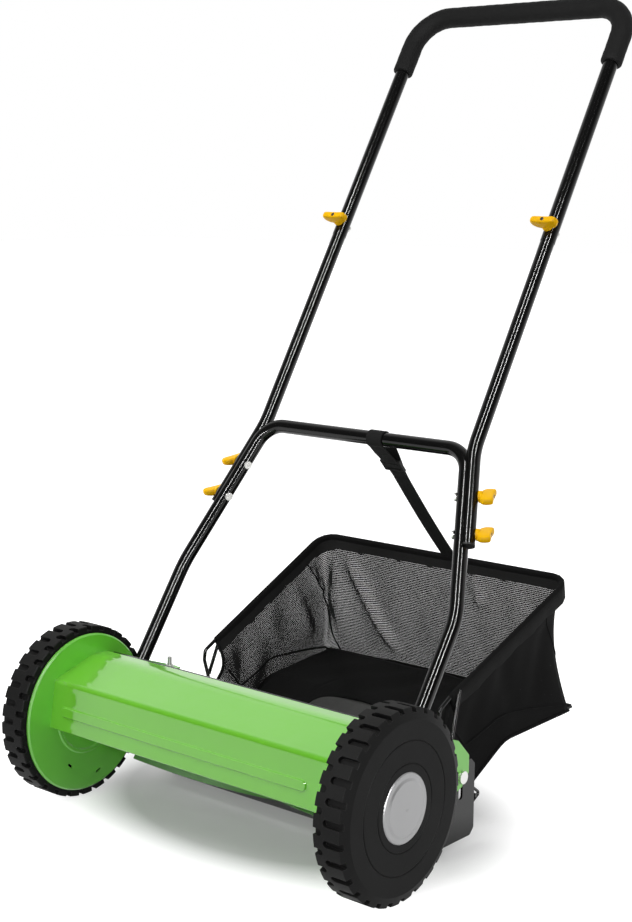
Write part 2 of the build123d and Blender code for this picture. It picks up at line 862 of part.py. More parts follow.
def cheek_outline():
    """The end cheek, from under the knife up round the pivot to the adjusting tab."""
    py, pz = knife_pivot
    tab_y, tab_z = stud_y + ledge_margin, ledge_z - knife_tab_drop
    return outline(
        [
            (knife_y + 2 * knife_bevel, knife_z),
            (knife_rear, knife_z),
            (knife_rear, knife_z + 2 * carrier_width),
            (py + cheek_neck, pz - carrier_width),
            (tab_y, tab_z - 1.2 * cheek_neck),
            (tab_y, tab_z + knife_tab_wall / 2),
            (tab_y - knife_tab_width, tab_z + knife_tab_wall / 2),
            (py - cheek_neck, pz + cheek_neck),
            (py - cheek_neck, pz - cheek_neck),
            (knife_rear - 0.8 * cheek_neck, knife_z + 1.7 * carrier_width),
            (knife_y + 2 * knife_bevel, knife_z + cheek_wall),
        ],
        cheek_corner,
    )


def make_carrier():
    carrier = across(carrier_outline(), -cheek_out, cheek_out)
    reach = stud_x + ledge_margin - cheek_in
    tab = Box(reach, knife_tab_width, knife_tab_wall)
    tab = Pos(cheek_in + reach / 2, stud_y, ledge_z - knife_tab_drop) * tab
    carrier = carrier + both(across(cheek_outline(), cheek_in, cheek_out)) + both(tab)
    stud_hole = Cylinder(stud_radius + knife_tab_hole_gap, 2 * cut_over)
    screw_hole = Cylinder(knife_screw_radius + bolt_gap, 4 * carrier_width)
    cuts = both(Pos(stud_x, stud_y, ledge_z - knife_tab_drop) * stud_hole)
    cuts += [Pos(x, knife_screw_y, knife_z) * screw_hole for x in knife_screw_xs()]
    cuts.append(across(disc_at(*knife_pivot, knife_pivot_radius + running_gap), -plate_x, plate_x))
    return carrier - cuts


def make_knife_screws():
    head_radius, head_wall = knife_screw_head
    low = knife_z - knife_wall
    screws = []
    for x in knife_screw_xs():
        shank = rod((x, knife_screw_y, low), (x, knife_screw_y, low + knife_screw_length), knife_screw_radius)
        head = rod((x, knife_screw_y, low - head_wall), (x, knife_screw_y, low), head_radius)
        screws.append(shank + head)
    return screws


def make_knife_pivot():
    head_radius, head_wall = knife_pivot_head
    inner = cheek_in - slide_gap
    shank = across(disc_at(*knife_pivot, knife_pivot_radius), inner, plate_out_x)
    head = across(disc_at(*knife_pivot, head_radius), inner - head_wall, inner)
    spacer = across(disc_at(*knife_pivot, knife_pivot_spacer_radius), cheek_out + slide_gap, plate_x)
    return shank + head + spacer


def stud_nut(z):
    nut = hex_prism((stud_x, stud_y, z), (0, 0, 1), stud_nut_radius, stud_nut_height)
    return nut - Pos(stud_x, stud_y, z) * Cylinder(stud_radius + thread_gap, 4 * stud_nut_height)


def make_studs():
    tab_z = ledge_z - knife_tab_drop
    half_tab = knife_tab_wall / 2
    parts = [rod((stud_x, stud_y, ledge_z - stud_drop), (stud_x, stud_y, ledge_z + stud_rise), stud_radius)]
    parts.append(stud_nut(ledge_z + plate_wall / 2))
    parts.append(stud_nut(ledge_z - plate_wall / 2 - stud_nut_height))
    parts.append(stud_nut(tab_z + half_tab + knife_travel))
    parts.append(stud_nut(tab_z - half_tab - running_gap - stud_nut_height))
    return [one for part in parts for one in both(part)]


def make_bracket(side):
    rear, head = bracket_rear, height_bolt_z + bracket_head
    front = height_bolt_ys[1] - bracket_margin
    foot = roller_radius - bracket_foot
    toe = roller_y - bracket_toe
    shape = outline(
        [
            (front, head),
            (rear - bracket_chamfer, head),
            (rear, head - bracket_chamfer),
            (rear, foot + bracket_chamfer),
            (rear - bracket_chamfer, foot),
            (toe + bracket_chamfer, foot),
            (toe, foot + bracket_chamfer),
            (toe, roller_radius + bracket_toe),
            (front, roller_radius + bracket_shin),
        ],
        bracket_corner,
    )
    shape = shape - disc_at(roller_y, roller_radius, roller_axle_radius + bolt_gap)
    slot = Rot(0, 0, 90) * SlotCenterToCenter(height_travel, 2 * (height_bolt_radius + slide_gap))
    for y in height_bolt_ys:
        shape = shape - Pos(y, height_bolt_z - height_travel / 2) * slot
    return across(shape, side * plate_x, side * bracket_in_x)


def make_roller_axle():
    axle = disc_at(roller_y, roller_radius, roller_axle_radius)
    collar = disc_at(roller_y, roller_radius, roller_collar_radius)
    collars = both(across(collar, roller_half_length + roller_collar_gap, bracket_in_x))
    return across(axle, -plate_x, plate_x) + collars


def make_roller():
    inside = roller_radius - roller_wall
    place = Pos(roller_y, roller_radius)
    shell = place * (Circle(roller_radius) - Circle(inside))
    hub = place * (Circle(inside) - Circle(roller_axle_radius + running_gap))
    roller = across(shell, -roller_half_length, roller_half_length)
    return roller + both(across(hub, roller_half_length - roller_end_wall, roller_half_length))


def make_height_bolts():
    bolts = []
    for side in sides.values():
        start = side * bracket_in_x
        for y, reach in zip(height_bolt_ys, height_bolt_reaches):
            place = (y, height_bolt_z)
            bolts.append(plate_bolt(side, place, height_bolt_radius, start - side * reach, height_bolt_head))
        bolts.append(plate_nut(side, place, start, height_nut, height_bolt_radius))
    return bolts


def make_hooks():
    y, z = catcher_pivot
    x = bracket_in_x - hook_wire
    root = bracket_rear - bracket_chamfer
    path = FilletPolyline(
        (x, root, z + 1.4 * hook_opening),
        (x, bracket_rear, z + 1.25 * hook_opening),
        (x, bracket_rear + hook_reach, z),
        (x, bracket_rear, z - 0.9 * hook_opening),
        (x, root, z - hook_opening),
        radius=hook_bend,
    )
    return both(pipe(path, hook_wire))


def height_knob(side):
    place = (height_bolt_y, height_bolt_z)
    foot_radius, foot_height = height_knob_foot
    wing_height, wing_span, wing_wall = height_knob_wing
    start = side * bracket_in_x
    foot_end = start - side * foot_height
    foot = across(disc_at(*place, foot_radius), start, foot_end)
    wing = Pos(foot_end - side * wing_height / 3, *place) * Box(wing_height, wing_span, wing_wall)
    bore = disc_at(*place, height_bolt_radius + running_gap)
    return foot + wing - across(bore, start, start - side * (height_bolt_reaches[0] + running_gap))


def leg_at(drop):
    """Centre of the right leg, a distance below the middle tube's bend."""
    return middle_bend - leg_up * drop - joint_dir * tube_pitch


def nest(clear):
    """Where the middle tube's lower end presses into the leg, flared a little downwards."""
    radius = tube_radius + clear
    start = middle_low - leg_up * (nest_below_tube + clear)
    plane = Plane(origin=start, z_dir=leg_up)
    flare = Solid.make_cone(radius + nest_flare, radius, (middle_bend - start).length, plane)
    return flare + Pos(*middle_bend) * Sphere(radius)


def cross_hole(point, direction):
    reach = direction * joint_hole_reach
    return rod(point - reach, point + reach, joint_bolt_radius + bolt_gap)


def make_lower_handle():
    tail = leg_low - (leg_mid - leg_low).normalized() * leg_tail
    half = [tail, leg_mid, leg_top]
    points = half + [mirrored(point) for point in reversed(half)]
    radii = [leg_bend_radius, crossbar_radius, crossbar_radius, leg_bend_radius]
    path = FilletPolyline(*points, radius=radii)
    outside = pipe(path, tube_radius) - both(nest(nest_gap))
    bore = pipe(path, tube_radius - tube_wall) - both(nest(nest_gap + tube_wall))
    cuts = [bore]
    for drop in lower_knob_drops:
        cuts += both(cross_hole(leg_at(drop), joint_dir))
    cuts.append(across(disc_at(*handle_pivot, handle_bolt_radius + running_gap), -plate_x, plate_x))
    return outside - cuts


def make_middle_tube():
    line = FilletPolyline(middle_low, middle_bend, middle_high, radius=[middle_bend_radius])
    neck = upper_tube_radius - tube_wall - running_gap
    base = middle_high - upper_up * neck_root
    top = middle_high + upper_up * tube_overlap
    tube = pipe(line, tube_radius, tube_radius - tube_wall)
    tube = tube + (rod(base, top, neck) - rod(base, top, neck - tube_wall))
    cuts = [cross_hole(leg_at(drop), joint_dir) for drop in lower_knob_drops]
    return tube - cuts - cross_hole(upper_bolt, knob_front)


def make_end_cap():
    cap = rod(middle_low - leg_up * end_cap_wall, middle_low, tube_radius)
    return cap + rod(middle_low, middle_low + leg_up * end_cap_plug, tube_radius - tube_wall - running_gap)


def upper_path(start):
    points = [start, grip_top, mirrored(grip_top), mirrored(start)]
    return FilletPolyline(*points, radius=[grip_corner_radius] * 2)


def make_upper_handle():
    tube = pipe(upper_path(middle_high), upper_tube_radius, upper_tube_radius - tube_wall)
    return tube - both(cross_hole(upper_bolt, knob_front))


def make_grip():
    start = grip_top - upper_up * (grip_corner_radius + foam_leg_length)
    return pipe(upper_path(start), grip_radius, upper_tube_radius + running_gap)


def make_joint_bolt(point, direction, reach_back, reach_out):
    """A screw with its head behind the tubes and its thread in the knob."""
    head_radius, head_height = joint_bolt_head
    head_at = point - direction * reach_back
    head_top = head_at - direction * head_height
    shank = rod(head_at, point + direction * reach_out, joint_bolt_radius)
    recess = Box(*joint_bolt_recess)
    recess = recess + Rot(0, 0, 90) * recess
    place = Plane(origin=head_top, z_dir=direction).location
    return shank + rod(head_top, head_at, head_radius) - place * recess


def make_handle_bolts():
    reach = tube_pitch + tube_radius + joint_bolt_in_knob
    bolts = [make_joint_bolt(leg_at(drop), joint_dir, tube_radius, reach) for drop in lower_knob_drops]
    top_reach = upper_tube_radius + joint_bolt_in_knob
    bolts.append(make_joint_bolt(upper_bolt, knob_front, upper_tube_radius, top_reach))
    return [one for bolt in bolts for one in both(bolt)]


def make_knob(base, direction, wing_dir):
    """Wing knob standing on base, along direction, with its wing along wing_dir."""
    plane = Plane(origin=base, x_dir=wing_dir, z_dir=direction)
    half = knob_span / 2
    low, shoulder = knob_base_height / 2, knob_height * knob_shoulder
    right_side = [(half * knob_waist, low), (half, shoulder), (half * knob_crown, knob_height)]
    points = right_side + [(-x, up) for x, up in reversed(right_side)]
    upright = Plane(origin=base, x_dir=wing_dir, z_dir=wing_dir.cross(direction))
    wing = extrude(upright * outline(points, knob_corner), knob_thickness / 2, both=True)
    knob = extrude(plane * Circle(knob_base_radius), knob_base_height) + wing
    bore = Circle(joint_bolt_radius + running_gap)
    return knob - extrude(plane * bore, knob_base_height + knob_bore_past_base)


def make_lower_knob(drop, turn):
    base = leg_at(drop) + joint_dir * (tube_pitch + tube_radius + slide_gap)
    return make_knob(base, joint_dir, leg_up * cos(turn) + joint_dir.cross(leg_up) * sin(turn))


def make_top_knob():
    return make_knob(upper_bolt + knob_front * (upper_tube_radius + slide_gap), knob_front, Vector(1, 0, 0))


def make_chassis_bolts():
    parts = []
    deck_place = (deck_screw_y, deck_screw_z())
    for side in sides.values():
        inner = side * (plate_x - deck_wall)
        end = inner - side * cut_over
        parts.append(plate_bolt(side, deck_place, deck_screw_radius, end, deck_screw_head))
        parts.append(plate_nut(side, deck_place, inner, deck_nut, deck_screw_radius))
        inner = side * (leg_x - tube_radius - slide_gap)
        end = inner - side * handle_bolt_tail
        parts.append(plate_bolt(side, handle_pivot, handle_bolt_radius, end, handle_bolt_head))
        parts.append(plate_nut(side, handle_pivot, inner, handle_nut, handle_bolt_radius))
    return parts


def by_rim_front(x, shift):
    return Vector(x, rim_front[0] + shift[0], rim_front[1] + shift[1])


def make_catcher_frame():
    half = [
        Vector(bracket_in_x + catcher_peg_play, *catcher_pivot),
        Vector(plate_x - frame_arm_inset, *catcher_pivot),
        by_rim_front(catcher_half_width + frame_knee_out, frame_knee),
        by_rim_front(catcher_half_width, frame_neck),
        by_rim_front(catcher_half_width, frame_crook),
        by_rim_front(catcher_half_width, (0, 0)),
        Vector(catcher_rear_half_width, *rim_rear),
    ]
    points = half + [mirrored(point) for point in reversed(half)]
    frame = pipe(FilletPolyline(*points, radius=frame_bends + frame_bends[::-1]), catcher_wire)
    along = (half[6] - half[5]).normalized()
    top = half[5] + along * brace_along_rim + Vector(brace_out, 0, 0)
    foot = half[2] + (top - half[2]).normalized() * brace_from_knee
    return frame + both(rod(foot, top, catcher_wire))


def spread_plan(inset):
    """Plan of the catcher between its side walls, which spread towards the rear."""
    run = rim_rear[0] - rim_front[0]
    widen = (catcher_rear_half_width - catcher_half_width) / run
    front_y, rear_y = rim_front[0] - run, rim_rear[0] + run
    front = catcher_half_width - inset - widen * run
    rear = catcher_rear_half_width - inset + widen * run
    plan = outline([(-front, front_y), (front, front_y), (rear, rear_y), (-rear, rear_y)])
    return extrude(plan, 2 * rim_rear[1])


def eased_at(sketch, knee):
    """Rounds the one corner of a sketch that stands at the floor's knee."""
    corner = sketch.vertices().sort_by_distance((*knee, 0))[0]
    return fillet(corner, floor_knee_radius)


def make_bag():
    """Side and rear walls of fabric, hung under the rim and open at the front."""
    drop = catcher_wire + slide_gap
    profile = outline(
        [
            (rim_front[0] + catcher_wire, rim_front[1] - drop),
            (rim_rear[0], rim_rear[1] - drop),
            floor_rear,
            floor_knee,
            floor_front,
            (rim_front[0] + bag_mouth[0], rim_front[1] + bag_mouth[1]),
        ]
    )
    profile = eased_at(profile, floor_knee)
    lean = (floor_rear[0] - rim_rear[0]) / (rim_rear[1] - floor_rear[1])
    rear_top = rim_rear[0] - 1.2 * fabric_wall
    room = outline(
        [
            (0, 0),
            (rear_top + lean * rim_rear[1], 0),
            (rear_top - lean * cut_over, rim_rear[1] + cut_over),
            (0, rim_rear[1] + cut_over),
        ]
    )
    half = catcher_rear_half_width + cut_over * cut_over
    walls = across(profile, -half, half) & spread_plan(bag_inset)
    return walls - (across(room, -half, half) & spread_plan(bag_inset + fabric_wall))


def make_floor():
    """A plate that ramps up from the reel, then runs level; its front edge is turned up."""
    front, knee, rear = Vector(floor_front), Vector(floor_knee), Vector(floor_rear)
    ramp, level = (knee - front).normalized(), (rear - knee).normalized()
    rear = rear - level * 2 * fabric_wall
    above_ramp, above_level = Vector(-ramp.Y, ramp.X), Vector(-level.Y, level.X)
    above_knee = (above_ramp + above_level).normalized()
    high_knee = knee + above_knee * (floor_wall / above_knee.dot(above_level))
    lip = front + Vector(-floor_lip[0], floor_lip[1])
    board = outline(
        [
            (front.X, front.Y),
            (knee.X, knee.Y),
            (rear.X, rear.Y),
            tuple(rear + above_level * floor_wall)[:2],
            (high_knee.X, high_knee.Y),
            tuple(front + above_ramp * floor_wall)[:2],
            (lip.X + floor_lip_wall, lip.Y + floor_lip_wall / 2),
            (lip.X, lip.Y),
        ]
    )
    board = eased_at(eased_at(board, floor_knee), (high_knee.X, high_knee.Y))
    half = catcher_rear_half_width + cut_over * cut_over
    return across(board, -half, half) & spread_plan(bag_inset + fabric_wall + bolt_gap)


def make_strap():
    loop_in = tube_radius + slide_gap
    bar = (bar_centre.Y, bar_centre.Z)
    loop = disc_at(*bar, loop_in + strap_wall) - disc_at(*bar, loop_in)
    start = bar_centre + strap_down * (loop_in + strap_wall / 2)
    end = rim_centre - strap_down * (catcher_wire + 2 * slide_gap)
    middle = (start + end) * 0.5
    plane = Plane(origin=(strap_x, middle.Y, middle.Z), x_dir=(1, 0, 0), z_dir=strap_front)
    band = extrude(plane * Rectangle(strap_width, (end - start).length), strap_wall / 2, both=True)
    return across(loop, strap_x - strap_width / 2, strap_x + strap_width / 2) + band


def make_buckle():
    lift = strap_wall / 2 + slide_gap + buckle_half_wall
    centre = bar_centre + strap_down * buckle_down_strap + strap_front * lift
    plane = Plane(origin=(strap_x, centre.Y, centre.Z), x_dir=(1, 0, 0), z_dir=strap_front)
    frame = Rectangle(strap_width + buckle_margin, buckle_height)
    for shift in (buckle_slot_out, -buckle_slot_out):
        frame = frame - Pos(0, shift) * Rectangle(strap_width, buckle_slot)
    return extrude(plane * frame, buckle_half_wall, both=True)


mirrored_nodes = {
    "wheel": make_wheel(),
    "ring_gear": make_ring_gear(),
    "hubcap": make_hubcap(),
    "side_plate": make_side_plate(),
    "middle_tube": make_middle_tube(),
    "knob_high": make_lower_knob(lower_knob_drops[0], lower_knob_turns[0]),
    "knob_low": make_lower_knob(lower_knob_drops[1], lower_knob_turns[1]),
    "knob_top": make_top_knob(),
}
for name, side in sides.items():
    for node, shape in mirrored_nodes.items():
        save(f"{node}_{name}", shape if side > 0 else flipped(shape))
    save(f"pinion_{name}", make_pinion(side))
    save(f"roller_bracket_{name}", make_bracket(side))
    save(f"height_knob_{name}", height_knob(side))

save("deck_cover", make_deck())
save("rear_tie_rod", make_tie_rod())
save("stub_axles", *both(make_stub_axle()))
save("axle_sleeves", *both(make_sleeve()))
save("axle_nuts", *[part for piece in make_axle_nut() for part in both(piece)])
save("chassis_bolts", *make_chassis_bolts())

save("bearing_housings", *both(make_housing()))
save("bearing_outer_rings", *both(make_race(bearing_outer_radius - race_wall, bearing_outer_radius)))
inner_race = make_race(shaft_radius + running_gap, shaft_radius + race_wall + bolt_gap)
save("bearing_inner_rings", *both(inner_race))
save("bearing_balls", *[part for ball in make_balls() for part in both(ball)])
save("reel_shaft", make_reel_shaft())
save("reel_spiders", *make_spiders())
for index in range(blade_count):
    save(f"reel_blade_{index + 1}", make_blade(index))
save("drive_pawls", *[pawl_bar(side, pawl_reach) for side in sides.values()])
save("pinion_circlips", *[make_circlip(side) for side in sides.values()])

save("bed_knife_carrier", make_carrier())
save("bed_knife", make_knife())
save("bed_knife_screws", *make_knife_screws())
save("bed_knife_pivots", *both(make_knife_pivot()))
save("adjuster_studs", *make_studs())
save("roller_axle", make_roller_axle())
save("rear_roller", make_roller())
save("height_bolts", *make_height_bolts())
save("catcher_hooks", *make_hooks())

save("lower_handle", make_lower_handle())
save("upper_handle", make_upper_handle())
save("foam_grip", make_grip())
save("tube_end_caps", *both(make_end_cap()))
save("handle_bolts", *make_handle_bolts())

save("catcher_frame", make_catcher_frame())
save("catcher_bag", make_bag())
save("catcher_floor", make_floor())
save("catcher_strap", make_strap())
save("strap_buckle", make_buckle())
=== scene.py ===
import json
from math import cos, exp, hypot, pi, radians, sin, tan

import bmesh
import bpy
from mathutils import Matrix, Vector


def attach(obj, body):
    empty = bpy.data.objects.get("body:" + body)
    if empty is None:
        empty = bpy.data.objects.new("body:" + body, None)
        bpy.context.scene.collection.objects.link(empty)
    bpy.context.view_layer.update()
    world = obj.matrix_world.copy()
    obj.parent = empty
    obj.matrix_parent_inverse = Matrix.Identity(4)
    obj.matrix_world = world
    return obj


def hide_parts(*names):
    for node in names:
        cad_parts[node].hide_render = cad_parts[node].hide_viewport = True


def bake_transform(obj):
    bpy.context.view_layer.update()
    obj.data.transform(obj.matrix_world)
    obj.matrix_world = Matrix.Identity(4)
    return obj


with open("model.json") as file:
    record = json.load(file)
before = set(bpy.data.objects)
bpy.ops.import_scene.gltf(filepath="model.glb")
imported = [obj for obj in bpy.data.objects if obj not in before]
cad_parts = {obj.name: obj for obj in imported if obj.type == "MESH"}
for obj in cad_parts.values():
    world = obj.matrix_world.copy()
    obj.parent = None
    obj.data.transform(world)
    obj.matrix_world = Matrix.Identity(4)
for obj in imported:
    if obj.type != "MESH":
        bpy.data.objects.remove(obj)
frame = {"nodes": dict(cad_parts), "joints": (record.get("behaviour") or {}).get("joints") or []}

scene = bpy.context.scene
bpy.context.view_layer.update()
joints = {joint["name"]: joint for joint in frame["joints"]}
print("frame loaded,", len(frame["nodes"]), "nodes")

cameraSettings = {
    "place": (1.3650, -1.5223, 0.8289),
    "direction": (-0.6700, 0.7290, -0.1411),
    "lens": 66.86,
    "shift": (0.1268, -0.0501),
}

# place, aim, width, height and watts; these lamps only light, they aren't mirrored in gloss
softLamps = {
    "overhead": ((-0.6, -1.0, 3.2), (0.0, 0.1, 0.2), 2.6, 2.2, 60.0),
    "frontFill": ((1.2, -3.0, 1.4), (0.0, 0.0, 0.4), 1.6, 1.6, 2.5),
    "leftFill": ((-2.6, -0.9, 1.2), (0.0, 0.2, 0.5), 0.6, 1.6, 16.0),
    "rightFill": ((2.4, 1.6, 1.3), (0.0, 0.2, 0.5), 0.6, 1.6, 14.0),
    "backCard": ((-2.2, 2.0, 1.9), (0.0, 0.0, 0.15), 2.2, 1.4, 12.0),
}
# two ends, width and watts; these tubes only show as thin lines in gloss
stripLamps = {
    "leftStrip": ((0.1, -3.0, 0.0), (0.1, -1.1, 3.3), 0.10, 150.0),
    "rightStrip": ((2.4, -1.9, 0.1), (2.1, -0.4, 2.85), 0.10, 150.0),
}
# where both tubes turn their lit side
stripAim = (0.0, 0.2, 0.4)
world = {"fill": 0.40, "darkSide": 0.08, "back": (-0.35, 0.94, 0.0), "turnsWhite": (-0.1, 0.5)}


def jointPoint(name):
    return Vector(joints[name]["pos_m"])


def aimAt(obj, target):
    obj.rotation_euler = (Vector(target) - obj.location).to_track_quat("-Z", "Y").to_euler()


def makeLamp(name, place, width, height, watts):
    lampData = bpy.data.lights.new(name, "AREA")
    lampData.shape = "RECTANGLE"
    lampData.size, lampData.size_y, lampData.energy = width, height, watts
    lamp = bpy.data.objects.new(name, lampData)
    scene.collection.objects.link(lamp)
    lamp.location = place
    lamp.visible_camera = False
    return lamp


def makeStudio():
    cameraData = bpy.data.cameras.new("camera")
    camera = bpy.data.objects.new("camera", cameraData)
    scene.collection.objects.link(camera)
    camera.location = cameraSettings["place"]
    aimAt(camera, camera.location + Vector(cameraSettings["direction"]))
    cameraData.lens = cameraSettings["lens"]
    cameraData.shift_x, cameraData.shift_y = cameraSettings["shift"]
    scene.camera = camera
    scene.view_settings.view_transform = "Standard"
    for name, (place, aim, width, height, watts) in softLamps.items():
        lamp = makeLamp(name, place, width, height, watts)
        aimAt(lamp, aim)
        lamp.visible_glossy = False
    for name, (low, high, width, watts) in stripLamps.items():
        low, high = Vector(low), Vector(high)
        lamp = makeLamp(name, (low + high) / 2, width, (high - low).length, watts)
        up = (high - low).normalized()
        away = lamp.location - Vector(stripAim)
        away = (away - up * away.dot(up)).normalized()
        lamp.rotation_euler = Matrix((up.cross(away), up, away)).transposed().to_euler()
        lamp.visible_diffuse = False


def mathNode(tree, operation, first, second=None, clamp=False):
    node = tree.nodes.new("ShaderNodeMath")
    node.operation = operation
    node.use_clamp = clamp
    for socket, value in zip(node.inputs, (first, second)):
        if isinstance(value, (int, float)):
            socket.default_value = value
        elif value is not None:
            tree.links.new(value, socket)
    return node.outputs[0]


def spread(tree, value, low, high, start=0.0, end=1.0):
    node = tree.nodes.new("ShaderNodeMapRange")
    tree.links.new(value, node.inputs["Value"])
    node.inputs["From Min"].default_value = start
    node.inputs["From Max"].default_value = end
    node.inputs["To Min"].default_value = low
    node.inputs["To Max"].default_value = high
    return node.outputs["Result"]


def makeWorld():
    sky = bpy.data.worlds.new("studio")
    scene.world = sky
    sky.use_nodes = True
    tree = sky.node_tree
    background = tree.nodes["Background"]
    background.inputs["Color"].default_value = (1.0, 1.0, 1.0, 1.0)
    rays = tree.nodes.new("ShaderNodeLightPath")
    place = tree.nodes.new("ShaderNodeTexCoord")
    towardBack = tree.nodes.new("ShaderNodeVectorMath")
    towardBack.operation = "DOT_PRODUCT"
    tree.links.new(place.outputs["Generated"], towardBack.inputs[0])
    towardBack.inputs[1].default_value = world["back"]
    mirrored = spread(tree, towardBack.outputs["Value"], world["darkSide"], 1.0, *world["turnsWhite"])
    inGloss = mathNode(tree, "MULTIPLY", mirrored, rays.outputs["Is Glossy Ray"])
    whole = mathNode(tree, "MAXIMUM", rays.outputs["Is Camera Ray"], rays.outputs["Is Transmission Ray"])
    plain = mathNode(tree, "SUBTRACT", 1.0, rays.outputs["Is Glossy Ray"])
    strength = mathNode(tree, "MAXIMUM", whole, mathNode(tree, "MULTIPLY", plain, world["fill"]))
    tree.links.new(mathNode(tree, "MAXIMUM", strength, inGloss), background.inputs["Strength"])


def makeMesh(name, verts, faces, smooth=True, uvs=None):
    mesh = bpy.data.meshes.new(name)
    mesh.from_pydata([tuple(v) for v in verts], [], faces)
    mesh.update()
    mesh.polygons.foreach_set("use_smooth", [smooth] * len(mesh.polygons))
    if uvs:
        layer = mesh.uv_layers.new(name="cloth")
        for loop in mesh.loops:
            layer.data[loop.index].uv = uvs[loop.vertex_index]
    obj = bpy.data.objects.new(name, mesh)
    scene.collection.objects.link(obj)
    return obj


# the floor's own glow rises past an oval round the mower and stays low inside it: a painted shadow under the
# mower, added to the lamps' real shadow there
floorSettings = {
    "half": 14.0,
    "drop": 0.0005,
    "colour": (0.52, 0.52, 0.52, 1.0),
    "rough": 0.7,
    "specular": 0.1,
    "middle": (-0.02, 0.16),
    "oval": (0.24, 0.18),
    "glowWithPaintedShadow": (0.20, 1.0),
    "reach": (1.0, 1.5),
}


def makeStudioFloor():
    h = floorSettings["half"]
    corners = [(-h, -h, 0), (h, -h, 0), (h, h, 0), (-h, h, 0)]
    studioFloor = makeMesh("studioFloor", corners, [(0, 1, 2, 3)], smooth=False)
    studioFloor.location.z = -floorSettings["drop"]  # just under the tyres
    material = bpy.data.materials.new("studioFloor")
    material.use_nodes = True
    tree = material.node_tree
    shader = tree.nodes["Principled BSDF"]
    shader.inputs["Base Color"].default_value = floorSettings["colour"]
    shader.inputs["Roughness"].default_value = floorSettings["rough"]
    shader.inputs["Specular IOR Level"].default_value = floorSettings["specular"]
    shader.inputs["Emission Color"].default_value = (1.0, 1.0, 1.0, 1.0)
    rays = tree.nodes.new("ShaderNodeLightPath")
    seen = mathNode(tree, "MAXIMUM", rays.outputs["Is Camera Ray"], rays.outputs["Is Glossy Ray"])
    seen = mathNode(tree, "MAXIMUM", seen, rays.outputs["Is Transmission Ray"])
    place = tree.nodes.new("ShaderNodeNewGeometry")
    (middleX, middleY), (ovalX, ovalY) = floorSettings["middle"], floorSettings["oval"]
    inOval = tree.nodes.new("ShaderNodeVectorMath")
    inOval.operation = "MULTIPLY_ADD"
    tree.links.new(place.outputs["Position"], inOval.inputs[0])
    inOval.inputs[1].default_value = (1 / ovalX, 1 / ovalY, 0.0)
    inOval.inputs[2].default_value = (-middleX / ovalX, -middleY / ovalY, 0.0)
    fromMower = tree.nodes.new("ShaderNodeVectorMath")
    fromMower.operation = "LENGTH"
    tree.links.new(inOval.outputs["Vector"], fromMower.inputs[0])
    # low glow inside the oval is painted shadow under the mower; farther out the glow makes the floor white
    glowWithPaintedShadow = spread(tree, fromMower.outputs["Value"], *floorSettings["glowWithPaintedShadow"], *floorSettings["reach"])
    tree.links.new(mathNode(tree, "MULTIPLY", glowWithPaintedShadow, seen), shader.inputs["Emission Strength"])
    studioFloor.data.materials.append(material)


makeStudio()
makeWorld()
makeStudioFloor()
print("studio ready")


def newGroup(name, inputs, outputs):
    group = bpy.data.node_groups.new(name, "ShaderNodeTree")
    for label, value in inputs:
        socket = group.interface.new_socket(label, in_out="INPUT", socket_type="NodeSocketFloat")
        socket.default_value = value
    for label in outputs:
        group.interface.new_socket(label, in_out="OUTPUT", socket_type="NodeSocketFloat")
    return group, group.nodes.new("NodeGroupInput"), group.nodes.new("NodeGroupOutput")


def noiseAt(tree, scaleSocket, detail, roughness):
    coords = tree.nodes.new("ShaderNodeTexCoord")
    noise = tree.nodes.new("ShaderNodeTexNoise")
    noise.inputs["Detail"].default_value = detail
    noise.inputs["Roughness"].default_value = roughness
    tree.links.new(coords.outputs["Object"], noise.inputs["Vector"])
    tree.links.new(scaleSocket, noise.inputs["Scale"])
    return noise.outputs["Fac"]


# soft blotches and fine grain in one mask and one height
def makeMottled():
    group, given, out = newGroup(
        "mottled", [("Blotch Scale", 8.0), ("Grain Scale", 600.0), ("Grain", 0.5)], ["Blotch", "Height"]
    )
    blotch = noiseAt(group, given.outputs["Blotch Scale"], 3.0, 0.55)
    grain = noiseAt(group, given.outputs["Grain Scale"], 2.0, 0.6)
    group.links.new(blotch, out.inputs["Blotch"])
    grain = mathNode(group, "MULTIPLY", grain, given.outputs["Grain"])
    group.links.new(mathNode(group, "ADD", grain, blotch), out.inputs["Height"])
    return group


wearSharpness = 9.0


# a mask along outer corners, broken up by noise
def makeEdgeWear():
    inputs = [("Width", 0.0015), ("Amount", 0.5), ("Breakup", 90.0)]
    group, given, out = newGroup("edgeWear", inputs, ["Mask"])
    bevel = group.nodes.new("ShaderNodeBevel")
    bevel.samples = 4
    group.links.new(given.outputs["Width"], bevel.inputs["Radius"])
    flat = group.nodes.new("ShaderNodeNewGeometry")
    dot = group.nodes.new("ShaderNodeVectorMath")
    dot.operation = "DOT_PRODUCT"
    group.links.new(bevel.outputs["Normal"], dot.inputs[0])
    group.links.new(flat.outputs["Normal"], dot.inputs[1])
    bent = mathNode(group, "SUBTRACT", 1.0, dot.outputs["Value"])
    turned = mathNode(group, "MULTIPLY", bent, wearSharpness)
    worn = mathNode(group, "MULTIPLY", turned, noiseAt(group, given.outputs["Breakup"], 4.0, 0.7))
    mask = mathNode(group, "MULTIPLY", worn, given.outputs["Amount"], clamp=True)
    group.links.new(mask, out.inputs["Mask"])
    return group


# settles on faces that look up
def makeDust():
    group, given, out = newGroup("dust", [("Amount", 0.3), ("Scale", 25.0)], ["Mask"])
    facing = group.nodes.new("ShaderNodeNewGeometry")
    split = group.nodes.new("ShaderNodeSeparateXYZ")
    group.links.new(facing.outputs["Normal"], split.inputs["Vector"])
    up = mathNode(group, "MAXIMUM", split.outputs["Z"], 0.0)
    patchy = mathNode(group, "MULTIPLY", up, noiseAt(group, given.outputs["Scale"], 5.0, 0.65))
    group.links.new(mathNode(group, "MULTIPLY", patchy, given.outputs["Amount"]), out.inputs["Mask"])
    return group


